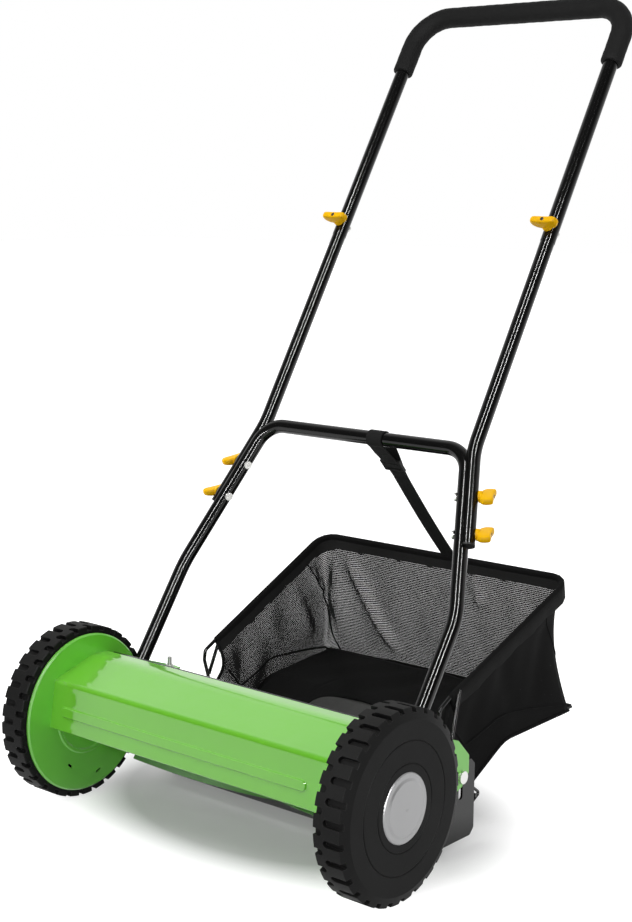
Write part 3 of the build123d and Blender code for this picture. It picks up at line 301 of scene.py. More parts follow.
# crossing threads from the cloth's own coordinates, in metres
def makeWeave():
    inputs = [("Pitch X", 0.002), ("Pitch Y", 0.002), ("Cover X", 0.5), ("Cover Y", 0.5)]
    group, given, out = newGroup("weave", inputs, ["Thread", "Height"])
    coords = group.nodes.new("ShaderNodeTexCoord")
    split = group.nodes.new("ShaderNodeSeparateXYZ")
    group.links.new(coords.outputs["UV"], split.inputs["Vector"])
    bands, rounds = [], []
    for axis in ("X", "Y"):
        threads = mathNode(group, "DIVIDE", split.outputs[axis], given.outputs[f"Pitch {axis}"])
        cell = mathNode(group, "FRACT", threads)
        fromMiddle = mathNode(group, "ABSOLUTE", mathNode(group, "SUBTRACT", cell, 0.5))
        halfThread = mathNode(group, "MULTIPLY", given.outputs[f"Cover {axis}"], 0.5)
        bands.append(mathNode(group, "LESS_THAN", fromMiddle, halfThread))
        rounds.append(mathNode(group, "SUBTRACT", 0.5, fromMiddle))
    group.links.new(mathNode(group, "MAXIMUM", *bands), out.inputs["Thread"])
    group.links.new(mathNode(group, "MAXIMUM", *rounds), out.inputs["Height"])
    return group


mottled, edgeWear, dust, weave = makeMottled(), makeEdgeWear(), makeDust(), makeWeave()
print("shared effects ready")


def placeGroup(tree, group, **values):
    node = tree.nodes.new("ShaderNodeGroup")
    node.node_tree = group
    for key, value in values.items():
        node.inputs[key.replace("_", " ")].default_value = value
    return node


def mixColour(tree, factor, first, second):
    node = tree.nodes.new("ShaderNodeMix")
    node.data_type = "RGBA"
    tree.links.new(factor, node.inputs["Factor"])
    for socket, value in ((node.inputs[6], first), (node.inputs[7], second)):
        if isinstance(value, tuple):
            socket.default_value = (*value, 1.0)
        else:
            tree.links.new(value, socket)
    return node.outputs[2]


def grey(low, high):
    return ((low, low, low), (high, high, high))


plainFinish = {
    "rough": (0.4, 0.55), "blotch": 15.0, "grain": 700.0, "bump": 0.00010, "coat": 0.0, "wear": 0.25,
    "wornTo": (0.10, 0.10, 0.10), "dust": 0.08, "dustTo": (0.62, 0.62, 0.58), "round": 0.0008,
    "metal": 0.0, "specular": 0.5, "coatRough": 0.08, "coatIor": 1.6, "grainShare": 0.5,
    "wearReach": 1.5, "breakup": 80.0, "dustScale": 22.0,
}
bumpStrength = 0.65
# what differs from the plain finish, for each hard finish on the mower
finishes = {
    "deckPaint": {
        "shades": ((0.150, 0.560, 0.018), (0.172, 0.600, 0.026)), "rough": (0.20, 0.30), "blotch": 7.0,
        "bump": 0.00006, "coat": 1.0, "wornTo": (0.42, 0.75, 0.22), "dust": 0.08, "round": 0.0012,
        "specular": 0.10,
    },
    "platePaint": {
        "shades": ((0.150, 0.640, 0.036), (0.170, 0.680, 0.046)), "rough": (0.26, 0.38), "blotch": 9.0,
        "bump": 0.00006, "coat": 0.4, "wear": 0.3, "wornTo": (0.30, 0.62, 0.14), "round": 0.0010,
    },
    "reelPaint": {
        "shades": ((0.060, 0.300, 0.016), (0.080, 0.360, 0.022)), "coat": 0.1, "wear": 0.7,
        "wornTo": (0.45, 0.47, 0.44), "dust": 0.15, "round": 0.0005,
    },
    "blackEnamel": {
        "shades": grey(0.003, 0.005), "rough": (0.10, 0.14), "blotch": 6.0, "bump": 0.00001, "wear": 0.08,
        "wornTo": (0.04, 0.04, 0.04), "dust": 0.008, "round": 0.0002, "specular": 0.30,
    },
    "satinBlack": {"shades": grey(0.008, 0.014), "specular": 0.25},
    "treadPlastic": {
        "shades": grey(0.003, 0.005), "rough": (0.50, 0.66), "grain": 420.0, "bump": 0.00022, "wear": 0.25,
        "wornTo": (0.040, 0.040, 0.040), "dust": 0.03, "round": 0.0012, "specular": 0.09,
    },
    "hubcapGrey": {
        "shades": ((0.345, 0.345, 0.350), (0.380, 0.380, 0.385)), "rough": (0.30, 0.42), "blotch": 18.0,
        "grain": 1100.0, "coat": 0.15, "wornTo": (0.6, 0.6, 0.6), "round": 0.0009, "metal": 0.35,
    },
    "yellowPlastic": {
        "shades": ((1.0, 0.520, 0.002), (1.0, 0.570, 0.004)), "rough": (0.30, 0.42), "blotch": 22.0,
        "wornTo": (1.0, 0.62, 0.02), "dust": 0.0, "specular": 0.06,
    },
    "zincPlate": {
        "shades": ((0.560, 0.560, 0.545), (0.640, 0.640, 0.620)), "rough": (0.28, 0.44), "blotch": 40.0,
        "wornTo": (0.8, 0.8, 0.78), "dust": 0.06, "round": 0.0004, "metal": 1.0,
    },
    "groundSteel": {
        "shades": ((0.420, 0.430, 0.440), (0.520, 0.530, 0.540)), "rough": (0.26, 0.42), "blotch": 30.0,
        "grain": 1400.0, "wear": 0.5, "wornTo": (0.75, 0.76, 0.77), "dust": 0.05, "round": 0.0004,
        "metal": 1.0,
    },
    "rollerGrey": {
        "shades": grey(0.10, 0.14), "rough": (0.45, 0.6), "grain": 500.0, "wear": 0.4,
        "wornTo": (0.25, 0.25, 0.25),
    },
    "trayGrey": {"shades": grey(0.024, 0.032), "rough": (0.42, 0.55), "grain": 900.0, "specular": 0.2},
    "mouldedBlack": {
        "shades": grey(0.009, 0.013), "blotch": 20.0, "wornTo": (0.06, 0.06, 0.06), "dust": 0.04,
        "specular": 0.2,
    },
}


def makeFinish(name, settings):
    f = {**plainFinish, **settings}
    material = bpy.data.materials.new(name)
    material.use_nodes = True
    tree = material.node_tree
    shader = tree.nodes["Principled BSDF"]
    patches = placeGroup(
        tree, mottled, Blotch_Scale=f["blotch"], Grain_Scale=f["grain"], Grain=f["grainShare"]
    )
    wearWidth = f["round"] * f["wearReach"]
    worn = placeGroup(tree, edgeWear, Width=wearWidth, Amount=f["wear"], Breakup=f["breakup"])
    dusty = placeGroup(tree, dust, Amount=f["dust"], Scale=f["dustScale"])
    colour = mixColour(tree, patches.outputs["Blotch"], *f["shades"])
    colour = mixColour(tree, worn.outputs["Mask"], colour, f["wornTo"])
    colour = mixColour(tree, dusty.outputs["Mask"], colour, f["dustTo"])
    tree.links.new(colour, shader.inputs["Base Color"])
    tree.links.new(spread(tree, patches.outputs["Blotch"], *f["rough"]), shader.inputs["Roughness"])
    shader.inputs["Metallic"].default_value = f["metal"]
    shader.inputs["Specular IOR Level"].default_value = f["specular"]
    shader.inputs["Coat Weight"].default_value = f["coat"]
    shader.inputs["Coat Roughness"].default_value = f["coatRough"]
    shader.inputs["Coat IOR"].default_value = f["coatIor"]
    rounded = tree.nodes.new("ShaderNodeBevel")
    rounded.samples = 4
    rounded.inputs["Radius"].default_value = f["round"]
    addBump(tree, shader, patches.outputs["Height"], f["bump"], rounded.outputs["Normal"])
    return material


def addBump(tree, shader, height, distance, normal=None):
    bump = tree.nodes.new("ShaderNodeBump")
    bump.inputs["Strength"].default_value = bumpStrength
    bump.inputs["Distance"].default_value = distance
    tree.links.new(height, bump.inputs["Height"])
    if normal:
        tree.links.new(normal, bump.inputs["Normal"])
    tree.links.new(bump.outputs["Normal"], shader.inputs["Normal"])


materials = {name: makeFinish(name, settings) for name, settings in finishes.items()}

nodeFinish = {
    "deckPaint": ["deck_cover"],
    "platePaint": ["side_plate_left", "side_plate_right"],
    "reelPaint": [
        "reel_spiders", "reel_blade_1", "reel_blade_2", "reel_blade_3", "reel_blade_4", "reel_blade_5",
    ],
    "blackEnamel": [
        "lower_handle", "middle_tube_left", "middle_tube_right", "upper_handle", "catcher_frame",
        "catcher_hooks",
        "roller_bracket_left", "roller_bracket_right", "bed_knife_carrier", "rear_tie_rod",
    ],
    "treadPlastic": ["wheel_left", "wheel_right"],
    "hubcapGrey": ["hubcap_left", "hubcap_right"],
    "mouldedBlack": [
        "tube_end_caps", "ring_gear_left", "ring_gear_right", "height_knob_left", "height_knob_right",
        "strap_buckle",
    ],
    "trayGrey": ["catcher_floor"],
    "rollerGrey": ["rear_roller"],
    "groundSteel": [
        "bed_knife", "reel_shaft", "drive_pawls", "pinion_left", "pinion_right", "bearing_balls",
        "bearing_inner_rings",
        "bearing_outer_rings",
    ],
    "zincPlate": [
        "axle_nuts", "axle_sleeves", "stub_axles", "bearing_housings", "chassis_bolts", "height_bolts",
        "adjuster_studs",
        "bed_knife_pivots", "bed_knife_screws", "pinion_circlips", "roller_axle", "handle_bolts",
    ],
}
finishOf = {node: finish for finish, nodes in nodeFinish.items() for node in nodes}
for node, obj in frame["nodes"].items():
    obj.data.materials.clear()
    obj.data.materials.append(materials[finishOf.get(node, "satinBlack")])
print("finishes on", len(finishOf), "nodes")

clothSettings = {
    "netting": {
        "shades": grey(0.010, 0.016), "rough": (0.75, 0.9), "blotch": 10.0, "sheen": 0.05,
        "pitch": (0.0012, 0.0026), "cover": (0.66, 0.64), "bump": 0.0003, "open": True,
    },
    "sideCloth": {
        "shades": grey(0.002, 0.004), "rough": (0.8, 0.9), "blotch": 14.0, "sheen": 0.02,
        "pitch": (0.0020, 0.0020), "cover": (0.80, 0.90), "bump": 0.0004, "open": True,
    },
    "solidCloth": {
        "shades": grey(0.002, 0.004), "rough": (0.8, 0.95), "blotch": 12.0, "sheen": 0.02,
        "pitch": (0.0011, 0.0011), "cover": (0.9, 0.9), "bump": 0.0003, "open": False,
    },
    "webbing": {
        "shades": grey(0.005, 0.010), "rough": (0.7, 0.85), "blotch": 20.0, "sheen": 0.05,
        "pitch": (0.0012, 0.0024), "cover": (0.9, 0.9), "bump": 0.0005, "open": False,
    },
}


# what every cloth shares
clothBase = {"grain": 500.0, "grainShare": 0.4, "specular": 0.08, "sheenRough": 0.5}


def clothMaterial(name, settings):
    c = {**clothBase, **settings}
    material = bpy.data.materials.new(name)
    material.use_nodes = True
    tree = material.node_tree
    shader = tree.nodes["Principled BSDF"]
    patches = placeGroup(
        tree, mottled, Blotch_Scale=c["blotch"], Grain_Scale=c["grain"], Grain=c["grainShare"]
    )
    (pitchX, pitchY), (coverX, coverY) = c["pitch"], c["cover"]
    threads = placeGroup(tree, weave, Pitch_X=pitchX, Pitch_Y=pitchY, Cover_X=coverX, Cover_Y=coverY)
    tree.links.new(mixColour(tree, patches.outputs["Blotch"], *c["shades"]), shader.inputs["Base Color"])
    tree.links.new(spread(tree, patches.outputs["Blotch"], *c["rough"]), shader.inputs["Roughness"])
    shader.inputs["Specular IOR Level"].default_value = c["specular"]
    shader.inputs["Sheen Weight"].default_value = c["sheen"]
    shader.inputs["Sheen Roughness"].default_value = c["sheenRough"]
    addBump(tree, shader, threads.outputs["Height"], c["bump"])
    if c["open"]:
        tree.links.new(threads.outputs["Thread"], shader.inputs["Alpha"])
    return material


cloths = {name: clothMaterial(name, settings) for name, settings in clothSettings.items()}

catcher = {
    "halfFront": 0.1965,
    "halfRear": 0.2105,
    "rimFront": (0.212, 0.178),
    "rimRear": (0.469, 0.286),
    "mouth": (0.216, 0.120),
    "floorFront": (0.252, 0.050),
    "floorKnee": (0.330, 0.095),
    "floorRear": (0.492, 0.102),
    "kneeSoftness": 0.007,
    "cornerRadius": 0.024,
    "mouthShare": 0.22,
    "sag": 0.013,
    "sagMiddle": 0.75,
    "sagAtCorner": 0.9,
    "cornersAt": (0.30, 0.70),
    "cornerWidth": 0.03,
    "footReach": 0.95,
    "footPull": 0.016,
    "footBow": 0.004,
    "topDrop": 0.003,
    "topInset": 0.0015,
    "ripples": ((0.0010, 61, 3), (0.0006, 113, -5)),
    "wall": 0.0002,
    "rows": 40,
}


def smoothStep(t):
    t = max(0.0, min(1.0, t))
    return t * t * (3 - 2 * t)


def halfWidthAt(y):
    (y0, _), (y1, _) = catcher["rimFront"], catcher["rimRear"]
    return catcher["halfFront"] + (catcher["halfRear"] - catcher["halfFront"]) * (y - y0) / (y1 - y0)


def floorHeightAt(y):
    (y0, z0), (y1, z1), (y2, z2) = catcher["floorFront"], catcher["floorKnee"], catcher["floorRear"]
    ramp = z0 + (y - y0) * (z1 - z0) / (y1 - y0)
    level = z1 + (y - y1) * (z2 - z1) / (y2 - y1)
    soft = catcher["kneeSoftness"]
    near = max(soft - abs(ramp - level), 0.0) / soft
    return min(ramp, level) - near * near * soft / 4


# straight runs joined by arcs, sampled about every step
def roundedPath(points, radius, step=0.004):
    pieces = [points[0]]
    for before, at, after in zip(points, points[1:], points[2:]):
        a, b = (before - at).normalized(), (after - at).normalized()
        angle = a.angle(b)
        reach = radius / tan(angle / 2)
        centre = at + (a + b).normalized() * (radius / sin(angle / 2))
        first, last = at + a * reach - centre, at + b * reach - centre
        total = first.angle(last)
        count = max(4, int(radius * total / step))
        for k in range(count + 1):
            t = k / count
            pieces.append(centre + (first * sin((1 - t) * total) + last * sin(t * total)) / sin(total))
    pieces.append(points[-1])
    dense = [pieces[0]]
    for point in pieces[1:]:
        base, gap = dense[-1].copy(), point - dense[-1]
        count = max(1, int(gap.length / step))
        dense += [base + gap * (k / count) for k in range(1, count + 1)]
    return dense


def tangentAt(points, i, reach=1):
    return (points[min(i + reach, len(points) - 1)] - points[max(i - reach, 0)]).normalized()


# points along the catcher's rim wire from the front left to the front right, and the side that faces out
def rimPath():
    (frontY, frontZ), (rearY, rearZ) = catcher["rimFront"], catcher["rimRear"]
    front, rear = catcher["halfFront"], catcher["halfRear"]
    corners = [(-front, frontY, frontZ), (-rear, rearY, rearZ), (rear, rearY, rearZ), (front, frontY, frontZ)]
    points = roundedPath([Vector(c) for c in corners], catcher["cornerRadius"], step=0.009)
    along = Vector((0, rearY - frontY, rearZ - frontZ)).normalized()
    up = Vector((1, 0, 0)).cross(along)
    outward = [up.cross(tangentAt(points, i)).normalized() for i in range(len(points))]
    return points, outward, up


# the foot of the side wall: down the mouth's edge, then along the floor to its rear
def sideFoot(share, side):
    mouth, front, rear = catcher["mouth"], catcher["floorFront"], catcher["floorRear"]
    first = catcher["mouthShare"]
    if share < first:
        t = share / first
        y, z = (a + (b - a) * t for a, b in zip(mouth, front))
    else:
        y = front[0] + (rear[0] - front[0]) * (share - first) / (1 - first)
        z = floorHeightAt(y)
    return Vector((side * halfWidthAt(y), y, z))


# long folds over the walls: start along and down, end along and down, depth and width
bagFolds = [
    (0.325, 0.06, 0.420, 0.96, 0.012, 0.009),
    (0.235, 0.06, 0.262, 0.45, 0.006, 0.006),
    (0.185, 0.15, 0.235, 0.80, 0.003, 0.010),
    (0.120, 0.12, 0.150, 0.80, 0.002, 0.012),
    (0.560, 0.06, 0.575, 0.35, 0.006, 0.006),
    (0.640, 0.10, 0.655, 0.90, 0.002, 0.016),
    (0.760, 0.12, 0.800, 0.90, 0.004, 0.016),
    (0.860, 0.10, 0.840, 0.85, 0.004, 0.016),
]


def foldDepth(u, v):
    depth = 0.0
    for u0, v0, u1, v1, amount, width in bagFolds:
        du, dv = u1 - u0, (v1 - v0) * 0.25
        pu, pv = u - u0, (v - v0) * 0.25
        t = max(0.0, min(1.0, (pu * du + pv * dv) / (du * du + dv * dv)))
        away = hypot(pu - du * t, pv - dv * t)
        depth += amount * smoothStep(t / 0.2) * smoothStep((1 - t) / 0.2) * exp(-((away / width) ** 2))
    return depth


def makeBagWalls():
    rim, outwards, up = rimPath()
    rows = catcher["rows"]
    lengths = [0.0]
    for a, b in zip(rim, rim[1:]):
        lengths.append(lengths[-1] + (b - a).length)
    total = lengths[-1]
    frontY, rearY = catcher["rimFront"][0], catcher["rimRear"][0]
    bend = catcher["cornerRadius"]
    verts, uvs, onRight = [], [], []
    for i, (top, outward) in enumerate(zip(rim, outwards)):
        u = lengths[i] / total
        side = -1 if top.x < 0 else 1
        if abs(outward.x) > 0.99:
            share = min(1.0, (top.y - frontY) / (rearY - bend - frontY))
            foot = sideFoot(share * catcher["footReach"], side)
        else:
            turn = smoothStep((abs(top.x) - (catcher["halfRear"] - bend)) / bend)
            y = catcher["floorRear"][0] - catcher["footPull"] * turn ** 2
            bow = catcher["footBow"] * (1 - (top.x / catcher["halfRear"]) ** 2)
            foot = Vector((top.x, y, floorHeightAt(y) + bow))
        onRight.append(top.x > 0 and abs(outward.x) > 0.5)
        start = top - up * catcher["topDrop"] - outward * catcher["topInset"]
        height = (foot - start).length
        atCorner = sum(exp(-((u - corner) / catcher["cornerWidth"]) ** 2) for corner in catcher["cornersAt"])
        sag = catcher["sag"] * (catcher["sagMiddle"] + catcher["sagAtCorner"] * atCorner)
        inward = Vector((-outward.x, -outward.y, 0)).normalized()
        for j in range(rows + 1):
            v = j / rows
            hang = sin(pi * v)
            ripple = sum(size * sin(u * along + down * v) for size, along, down in catcher["ripples"])
            moved = (sag + ripple) * hang + foldDepth(u, v) * hang ** 0.5
            verts.append(start.lerp(foot, v) + inward * moved)
            uvs.append((lengths[i], v * height))
    faces = []
    for i in range(len(rim) - 1):
        for j in range(rows):
            a = i * (rows + 1) + j
            faces.append((a, a + 1, a + rows + 2, a + rows + 1))
    walls = makeMesh("bagWalls", verts, faces, uvs=uvs)
    walls.data.materials.append(cloths["netting"])
    walls.data.materials.append(cloths["sideCloth"])
    for index, polygon in enumerate(walls.data.polygons):
        polygon.material_index = 1 if onRight[index // rows] else 0
    return walls, total


hem = {
    "radius": 0.0036,
    "height": 0.022,
    "around": 9,
    "offset": 0.0005,
    "outerEdge": -0.0013,
    "innerEdge": 0.0010,
    "wrap": 1.15,
    "wrapStart": 0.075,
    "wobbles": ((0.0012, 0.9), (0.0008, 2.3)),
}


# wraps the rim wire and is sewn to the walls below it
def makeHem():
    rim, outwards, up = rimPath()
    radius, height, around = hem["radius"], hem["height"], hem["around"]
    size = around + 3
    verts, uvs, faces = [], [], []
    run = 0.0
    for i, (top, outward) in enumerate(zip(rim, outwards)):
        centre = top + outward * hem["offset"]
        run += (top - rim[i - 1]).length if i else 0.0
        wobble = sum(depth * sin(i * pace) for depth, pace in hem["wobbles"])
        section = [(hem["outerEdge"], height + wobble)]
        for k in range(around + 1):
            a = pi * (hem["wrap"] * k / around - hem["wrapStart"])
            section.append((-radius * cos(a), -radius * sin(a)))
        section.append((hem["innerEdge"], height + wobble))
        travelled = 0.0
        for k, (out, below) in enumerate(section):
            verts.append(centre + outward * out - up * below)
            travelled += hypot(out - section[k - 1][0], below - section[k - 1][1]) if k else 0.0
            uvs.append((run, travelled))
    for i in range(len(rim) - 1):
        for k in range(size):
            a, b = i * size + k, i * size + (k + 1) % size
            faces.append((a, b, b + size, a + size))
    lastRow = (len(rim) - 1) * size
    faces += [tuple(range(size - 1, -1, -1)), tuple(range(lastRow, lastRow + size))]
    band = makeMesh("bagHem", verts, faces, uvs=uvs)
    band.data.materials.append(cloths["solidCloth"])
    return band


# the cloth floor, with the tray's front panel left bare
floorCloth = {
    "columns": 80,
    "rows": 26,
    "lift": 0.0042,
    "thick": 0.0012,
    "inset": 0.003,
    "crown": 0.003,
    "clothHalf": 0.2,
    "wrinkles": ((0.0012, 8, 30), (0.0009, 15, -47)),
    "panelHalf": 0.110,
    "panelRear": 0.327,
    "panelCorner": 6.0,
}


def clothStartAt(x):
    front, rear = catcher["floorFront"][0] + floorCloth["inset"], floorCloth["panelRear"]
    across = min(1.0, abs(x) / floorCloth["panelHalf"])
    return front + (rear - front) * (1 - across ** floorCloth["panelCorner"]) ** (1 / 3)


def makeFloorCloth():
    columns, rows = floorCloth["columns"], floorCloth["rows"]
    inset = floorCloth["inset"]
    rear = catcher["floorRear"][0] - inset
    verts, uvs, faces = [], [], []
    for i in range(columns + 1):
        s = -1 + 2 * i / columns
        s = 0.5 * s + 0.5 * s * abs(s) if abs(s) > 0.5 else s * 0.75  # columns crowd the panel's corners
        for j in range(rows + 1):
            t = j / rows
            start = clothStartAt(s * catcher["halfFront"])
            y = start + (rear - start) * t
            edge = 1 - s * s
            wrinkle = sum(size * sin(m * s + n * y) for size, m, n in floorCloth["wrinkles"])
            rise = floorCloth["lift"] + (wrinkle + floorCloth["crown"] * sin(pi * t)) * edge
            verts.append((s * (halfWidthAt(y) - inset), y, floorHeightAt(y) + rise))
            uvs.append((s * floorCloth["clothHalf"], y))
    for i in range(columns):
        for j in range(rows):
            a = i * (rows + 1) + j
            faces.append((a, a + rows + 1, a + rows + 2, a + 1))
    cloth = makeMesh("bagFloor", verts, faces, uvs=uvs)
    cloth.data.materials.append(cloths["solidCloth"])
    return cloth


def thicken(obj, thickness):
    modifier = obj.modifiers.new("thickness", "SOLIDIFY")
    modifier.thickness = thickness
    modifier.offset = 0.0


# open-ended tube through the path; radiusAt gives the radius at each point and angle
def sweepRound(path, radiusAt, sides=8, reach=1):
    verts, faces = [], []
    first = tangentAt(path, 0, reach).orthogonal().normalized()
    for i, point in enumerate(path):
        tangent = tangentAt(path, i, reach)
        first = (first - tangent * first.dot(tangent)).normalized()
        second = tangent.cross(first)
        for k in range(sides):
            a = 2 * pi * k / sides
            verts.append(point + (first * cos(a) + second * sin(a)) * radiusAt(i, a))
    for i in range(len(path) - 1):
        for k in range(sides):
            a, b = i * sides + k, i * sides + (k + 1) % sides
            faces.append((a, b, b + sides, a + sides))
    return verts, faces


def edgeTape(name, points, radius):
    sides = 8
    verts, faces = sweepRound(points, lambda i, a: radius, sides)
    last = (len(points) - 1) * sides
    faces += [tuple(range(sides - 1, -1, -1)), tuple(range(last, last + sides))]
    tape = makeMesh(name, verts, faces)
    tape.data.materials.append(cloths["solidCloth"])
    return tape


edgeTapeRadius = 0.0022
seamSteps = 40
# seams over the walls: start and end along, start and end down, as shares, and the radius
seams = {
    "bagSeamLeft": (0.235, 0.300, 0.08, 1.0, 0.0012),
    "bagSeamRight": (0.765, 0.700, 0.08, 1.0, 0.0012),
    "bagCreaseLeft": (0.020, 0.280, 0.60, 0.97, 0.0015),
    "bagCreaseRight": (0.980, 0.720, 0.60, 0.97, 0.0015),
}


def makeBag():
    walls, rimLength = makeBagWalls()
    rowCount = catcher["rows"] + 1
    points = [v.co.copy() for v in walls.data.vertices]
    columnCount = len(points) // rowCount

    def onWall(u, v):
        column, row = u * (columnCount - 1), v * (rowCount - 1)
        i, j = min(int(column), columnCount - 2), min(int(row), rowCount - 2)
        low = points[i * rowCount + j].lerp(points[(i + 1) * rowCount + j], column - i)
        high = points[i * rowCount + j + 1].lerp(points[(i + 1) * rowCount + j + 1], column - i)
        return low.lerp(high, row - j)

    tapes = [edgeTape("bagBottomTape", points[rowCount - 1 :: rowCount], edgeTapeRadius)]
    for name, edge in (("bagFrontTapeLeft", 0), ("bagFrontTapeRight", columnCount - 1)):
        tapes.append(edgeTape(name, points[edge * rowCount : (edge + 1) * rowCount], edgeTapeRadius))
    for name, (u0, u1, v0, v1, radius) in seams.items():
        shares = [k / seamSteps for k in range(seamSteps + 1)]
        line = [onWall(u0 + (u1 - u0) * share, v0 + (v1 - v0) * share) for share in shares]
        tapes.append(edgeTape(name, line, radius))
    thicken(walls, catcher["wall"])
    hemBand, floorPiece = makeHem(), makeFloorCloth()
    thicken(floorPiece, floorCloth["thick"])
    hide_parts("catcher_bag")
    for piece in (walls, hemBand, floorPiece, *tapes):
        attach(piece, "catcher")
    print("catcher bag made, rim", round(rimLength, 3), "m")


makeBag()

strap = {
    "x": 0.025,
    "bar": (0.286, 0.478),
    "rim": (0.469, 0.286),
    "width": 0.024,
    "thick": 0.0016,
    "loopRadius": 0.0106,
    "doubled": (0.022, 0.078),
    "doubledSteps": 5,
    "plyGap": 0.0019,
    "plySpread": 0.0058,
    "loopFrom": 62,
    "loopTurn": 236,
    "loopSteps": 18,
    "runSteps": 24,
    "runFrom": 0.020,
    "runShort": 0.0245,
    "runBack": 0.0078,
    "droop": 0.003,
    "endShift": -0.006,
    "stiffTo": 0.085,
}


# from the doubled end, round the bar and down to the rim
def strapLine():
    bar, rim = Vector((strap["x"], *strap["bar"])), Vector((strap["x"], *strap["rim"]))
    down = (rim - bar).normalized()
    front = Vector((0, down.z, -down.y))
    length = (rim - bar).length
    near, far = strap["doubled"]
    points = []
    for i in range(strap["doubledSteps"] + 1):
        share = i / strap["doubledSteps"]
        apart = strap["plyGap"] + strap["plySpread"] * share ** 2
        points.append(bar + down * (far - (far - near) * share) + front * apart)
    for i in range(strap["loopSteps"] + 1):
        a = radians(strap["loopFrom"] + strap["loopTurn"] * i / strap["loopSteps"])
        points.append(bar + (down * cos(a) + front * sin(a)) * strap["loopRadius"])
    for i in range(1, strap["runSteps"] + 1):
        share = i / strap["runSteps"]
        back = strap["runBack"] * (1 - smoothStep(share * 4))
        point = bar + down * (strap["runFrom"] + (length - strap["runShort"]) * share) - front * back
        point.z -= strap["droop"] * sin(pi * share)
        point.x += strap["endShift"] * smoothStep(share)
        points.append(point)
    return points


def makeStrap():
    points = strapLine()
    side = Vector((strap["width"] / 2, 0, 0))
    verts, uvs, faces = [], [], []
    run = 0.0
    for i, point in enumerate(points):
        normal = tangentAt(points, i).cross(side).normalized() * (strap["thick"] / 2)
        verts += [point - side - normal, point + side - normal, point + side + normal, point - side + normal]
        run += (point - points[i - 1]).length if i else 0.0
        uvs += [(0.0, run), (strap["width"], run), (strap["width"], run), (0.0, run)]
    for i in range(len(points) - 1):
        a, b = 4 * i, 4 * i + 4
        faces += [(a + k, a + (k + 1) % 4, b + (k + 1) % 4, b + k) for k in range(4)]
    end = 4 * (len(points) - 1)
    faces += [(3, 2, 1, 0), (end, end + 1, end + 2, end + 3)]
    band = makeMesh("strapBand", verts, faces, smooth=False, uvs=uvs)
    band.data.materials.append(cloths["webbing"])
    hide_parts("catcher_strap")
    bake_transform(band)
    print("strap made,", round(run, 3), "m long")


makeStrap()

grip = {
    "corner": (0.1733, 0.6517, 1.054),
    "radius": 0.01475,
    "bore": 0.0101,
    "rounding": 0.0022,
    "softStep": 0.3,
    "unevenAcross": 0.00012,
    "unevenAlong": 0.0001,
    "cornerRadius": 0.050,
    "leg": 0.046,
}


foam = {
    "cells": 950.0, "blotch": 12.0, "grain": 700.0, "grainShare": 0.6, "shades": grey(0.002, 0.004),
    "rough": (0.65, 0.82), "specular": 0.12, "sheen": 0.02, "bump": 0.0004,
}


def foamMaterial():
    material = bpy.data.materials.new("foam")
    material.use_nodes = True
    tree = material.node_tree
    shader = tree.nodes["Principled BSDF"]
    cells = tree.nodes.new("ShaderNodeTexVoronoi")
    cells.inputs["Scale"].default_value = foam["cells"]
    coords = tree.nodes.new("ShaderNodeTexCoord")
    tree.links.new(coords.outputs["Object"], cells.inputs["Vector"])
    patches = placeGroup(
        tree, mottled, Blotch_Scale=foam["blotch"], Grain_Scale=foam["grain"], Grain=foam["grainShare"]
    )
    tree.links.new(mixColour(tree, patches.outputs["Blotch"], *foam["shades"]), shader.inputs["Base Color"])
    tree.links.new(spread(tree, patches.outputs["Blotch"], *foam["rough"]), shader.inputs["Roughness"])
    shader.inputs["Specular IOR Level"].default_value = foam["specular"]
    shader.inputs["Sheen Weight"].default_value = foam["sheen"]
    addBump(tree, shader, cells.outputs["Distance"], foam["bump"])
    return material


def makeGrip():
    corner = Vector(grip["corner"])
    alongLeg = (corner - jointPoint("knob_top_right_turn")).normalized()
    start = corner - alongLeg * (grip["cornerRadius"] + grip["leg"])
    flip = Vector((-1, 1, 1))
    path = roundedPath([start, corner, corner * flip, start * flip], grip["cornerRadius"])
    rounding = grip["rounding"]
    head = (path[1] - path[0]).normalized() * rounding
    tail = (path[-1] - path[-2]).normalized() * rounding
    soft = grip["softStep"]
    startPoints = [path[0], path[0], path[0] + head * soft, path[0] + head]
    endPoints = [path[-1] - tail, path[-1] - tail * soft, path[-1], path[-1]]
    path = [*startPoints, *path[2:-2], *endPoints]
    body = grip["radius"]
    ends = {0: grip["bore"], 1: body - rounding, 2: body - rounding * soft}

    def radiusAt(i, a):
        near = min(i, len(path) - 1 - i)
        uneven = grip["unevenAcross"] * sin(i * 1.7 + 2 * a) + grip["unevenAlong"] * sin(i * 0.61)
        return ends.get(near, body + uneven)

    verts, faces = sweepRound(path, radiusAt, sides=32, reach=3)
    foamGrip = makeMesh("foamGrip", verts, faces)
    foamGrip.data.materials.append(foamMaterial())
    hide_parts("foam_grip")
    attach(foamGrip, "handle")
    print("foam grip made")


makeGrip()

# the foot and the bolt's end are outlines of radius and height
wingKnob = {
    "half": 0.0200,
    "low": 0.0026,
    "top": 0.0210,
    "thick": 0.0050,
    "swell": 0.35,
    "foot": [(0.0074, 0.0), (0.0080, 0.0006), (0.0076, 0.0050), (0.0066, 0.0060)],
    "boltEnd": [(0.0026, 0.0170), (0.0026, 0.0198)],
}
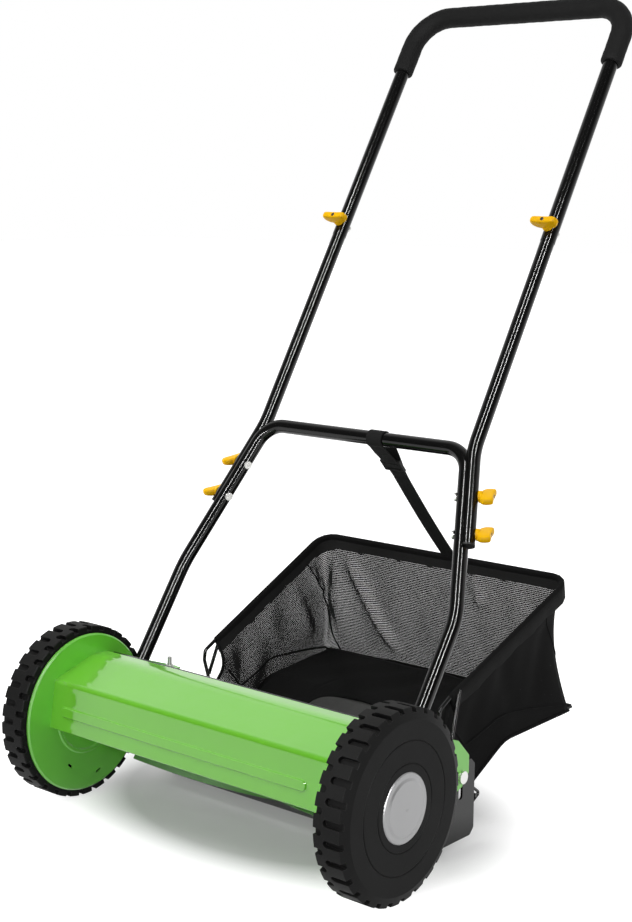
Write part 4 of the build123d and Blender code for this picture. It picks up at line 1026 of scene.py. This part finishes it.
# how far each knob's seat stands off its joint's point, and the turn of its wing in degrees
knobPlaces = {"high": (0.0, -45), "low": (0.0, -48), "top": (0.0103, 0)}
wingOutline = [
    (-0.42, 0.0), (-0.72, 0.06), (-0.95, 0.30), (-1.0, 0.55), (-0.94, 0.88), (-0.80, 1.0),
    (-0.40, 0.95), (0.0, 0.92),
    (0.40, 0.95), (0.80, 1.0), (0.94, 0.88), (1.0, 0.55), (0.95, 0.30), (0.72, 0.06), (0.42, 0.0),
    (0.0, 0.0),
]
wingLayers = [(-1.0, 0.86), (-0.62, 1.0), (0.62, 1.0), (1.0, 0.86)]


def addTurning(mesh, profile, steps=24):
    bottom, top = mesh.verts.new((0, 0, profile[0][1])), mesh.verts.new((0, 0, profile[-1][1]))
    rings = []
    for radius, z in profile:
        angles = [2 * pi * s / steps for s in range(steps)]
        rings.append([mesh.verts.new((radius * cos(a), radius * sin(a), z)) for a in angles])
    for s in range(steps):
        t = (s + 1) % steps
        mesh.faces.new((bottom, rings[0][t], rings[0][s]))
        for lower, upper in zip(rings, rings[1:]):
            mesh.faces.new((lower[s], lower[t], upper[t], upper[s]))
        mesh.faces.new((rings[-1][s], rings[-1][t], top))


# one thick wing on a round foot, as a cage that the subdivision rounds
def makeKnob(name, place, turn):
    k = wingKnob
    mesh = bmesh.new()
    middle = (k["low"] + k["top"]) / 2
    rings = []
    for depth, shrink in wingLayers:
        ring = []
        for px, pz in wingOutline:
            z = k["low"] + (k["top"] - k["low"]) * pz
            swell = 1.0 + k["swell"] * (1 - abs(px)) * (1 - pz)
            corner = (k["half"] * px * shrink, k["thick"] * depth * swell, middle + (z - middle) * shrink)
            ring.append(mesh.verts.new(corner))
        rings.append(ring)
    size = len(wingOutline)
    for a, b in zip(rings, rings[1:]):
        for i in range(size):
            j = (i + 1) % size
            mesh.faces.new((a[i], a[j], b[j], b[i]))
    mesh.faces.new(rings[0][::-1])
    mesh.faces.new(rings[-1])
    bmesh.ops.recalc_face_normals(mesh, faces=mesh.faces)
    addTurning(mesh, k["foot"])
    knob = finishKnob(name, mesh, place, turn, "yellowPlastic")
    smooth = knob.modifiers.new("smooth", "SUBSURF")
    smooth.levels = smooth.render_levels = 2
    return knob


def finishKnob(name, mesh, place, turn, finish):
    data = bpy.data.meshes.new(name)
    mesh.to_mesh(data)
    mesh.free()
    data.polygons.foreach_set("use_smooth", [True] * len(data.polygons))
    for vertex in data.vertices:
        vertex.co = turn @ vertex.co + place
    data.materials.append(materials[finish])
    obj = bpy.data.objects.new(name, data)
    scene.collection.objects.link(obj)
    return obj


def makeBoltEnd(name, place, turn):
    mesh = bmesh.new()
    addTurning(mesh, wingKnob["boltEnd"], steps=16)
    return finishKnob(name, mesh, place, turn, "satinBlack")


def placeKnobs(sideName, sign):
    legUp = (jointPoint(f"knob_high_{sideName}_turn") - jointPoint(f"knob_low_{sideName}_turn")).normalized()
    for level, (standOff, degrees) in knobPlaces.items():
        axis = Vector(joints[f"knob_{level}_{sideName}_turn"]["axis"]).normalized()
        seat = jointPoint(f"knob_{level}_{sideName}_turn") + axis * standOff
        wingFrom = Vector((sign, 0, 0)) if level == "top" else legUp
        wing = wingFrom * cos(radians(degrees)) + axis.cross(wingFrom) * sign * sin(radians(degrees))
        turn = Matrix((wing, axis.cross(wing), axis)).transposed()
        knob = makeKnob(f"wingKnob_{level}_{sideName}", seat, turn)
        boltEnd = makeBoltEnd(f"knobBoltEnd_{level}_{sideName}", seat, turn)
        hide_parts(f"knob_{level}_{sideName}")
        for piece in (knob, boltEnd):
            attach(piece, f"knob_{level}_{sideName}")


placeKnobs("left", -1)
placeKnobs("right", 1)
print("knobs made")
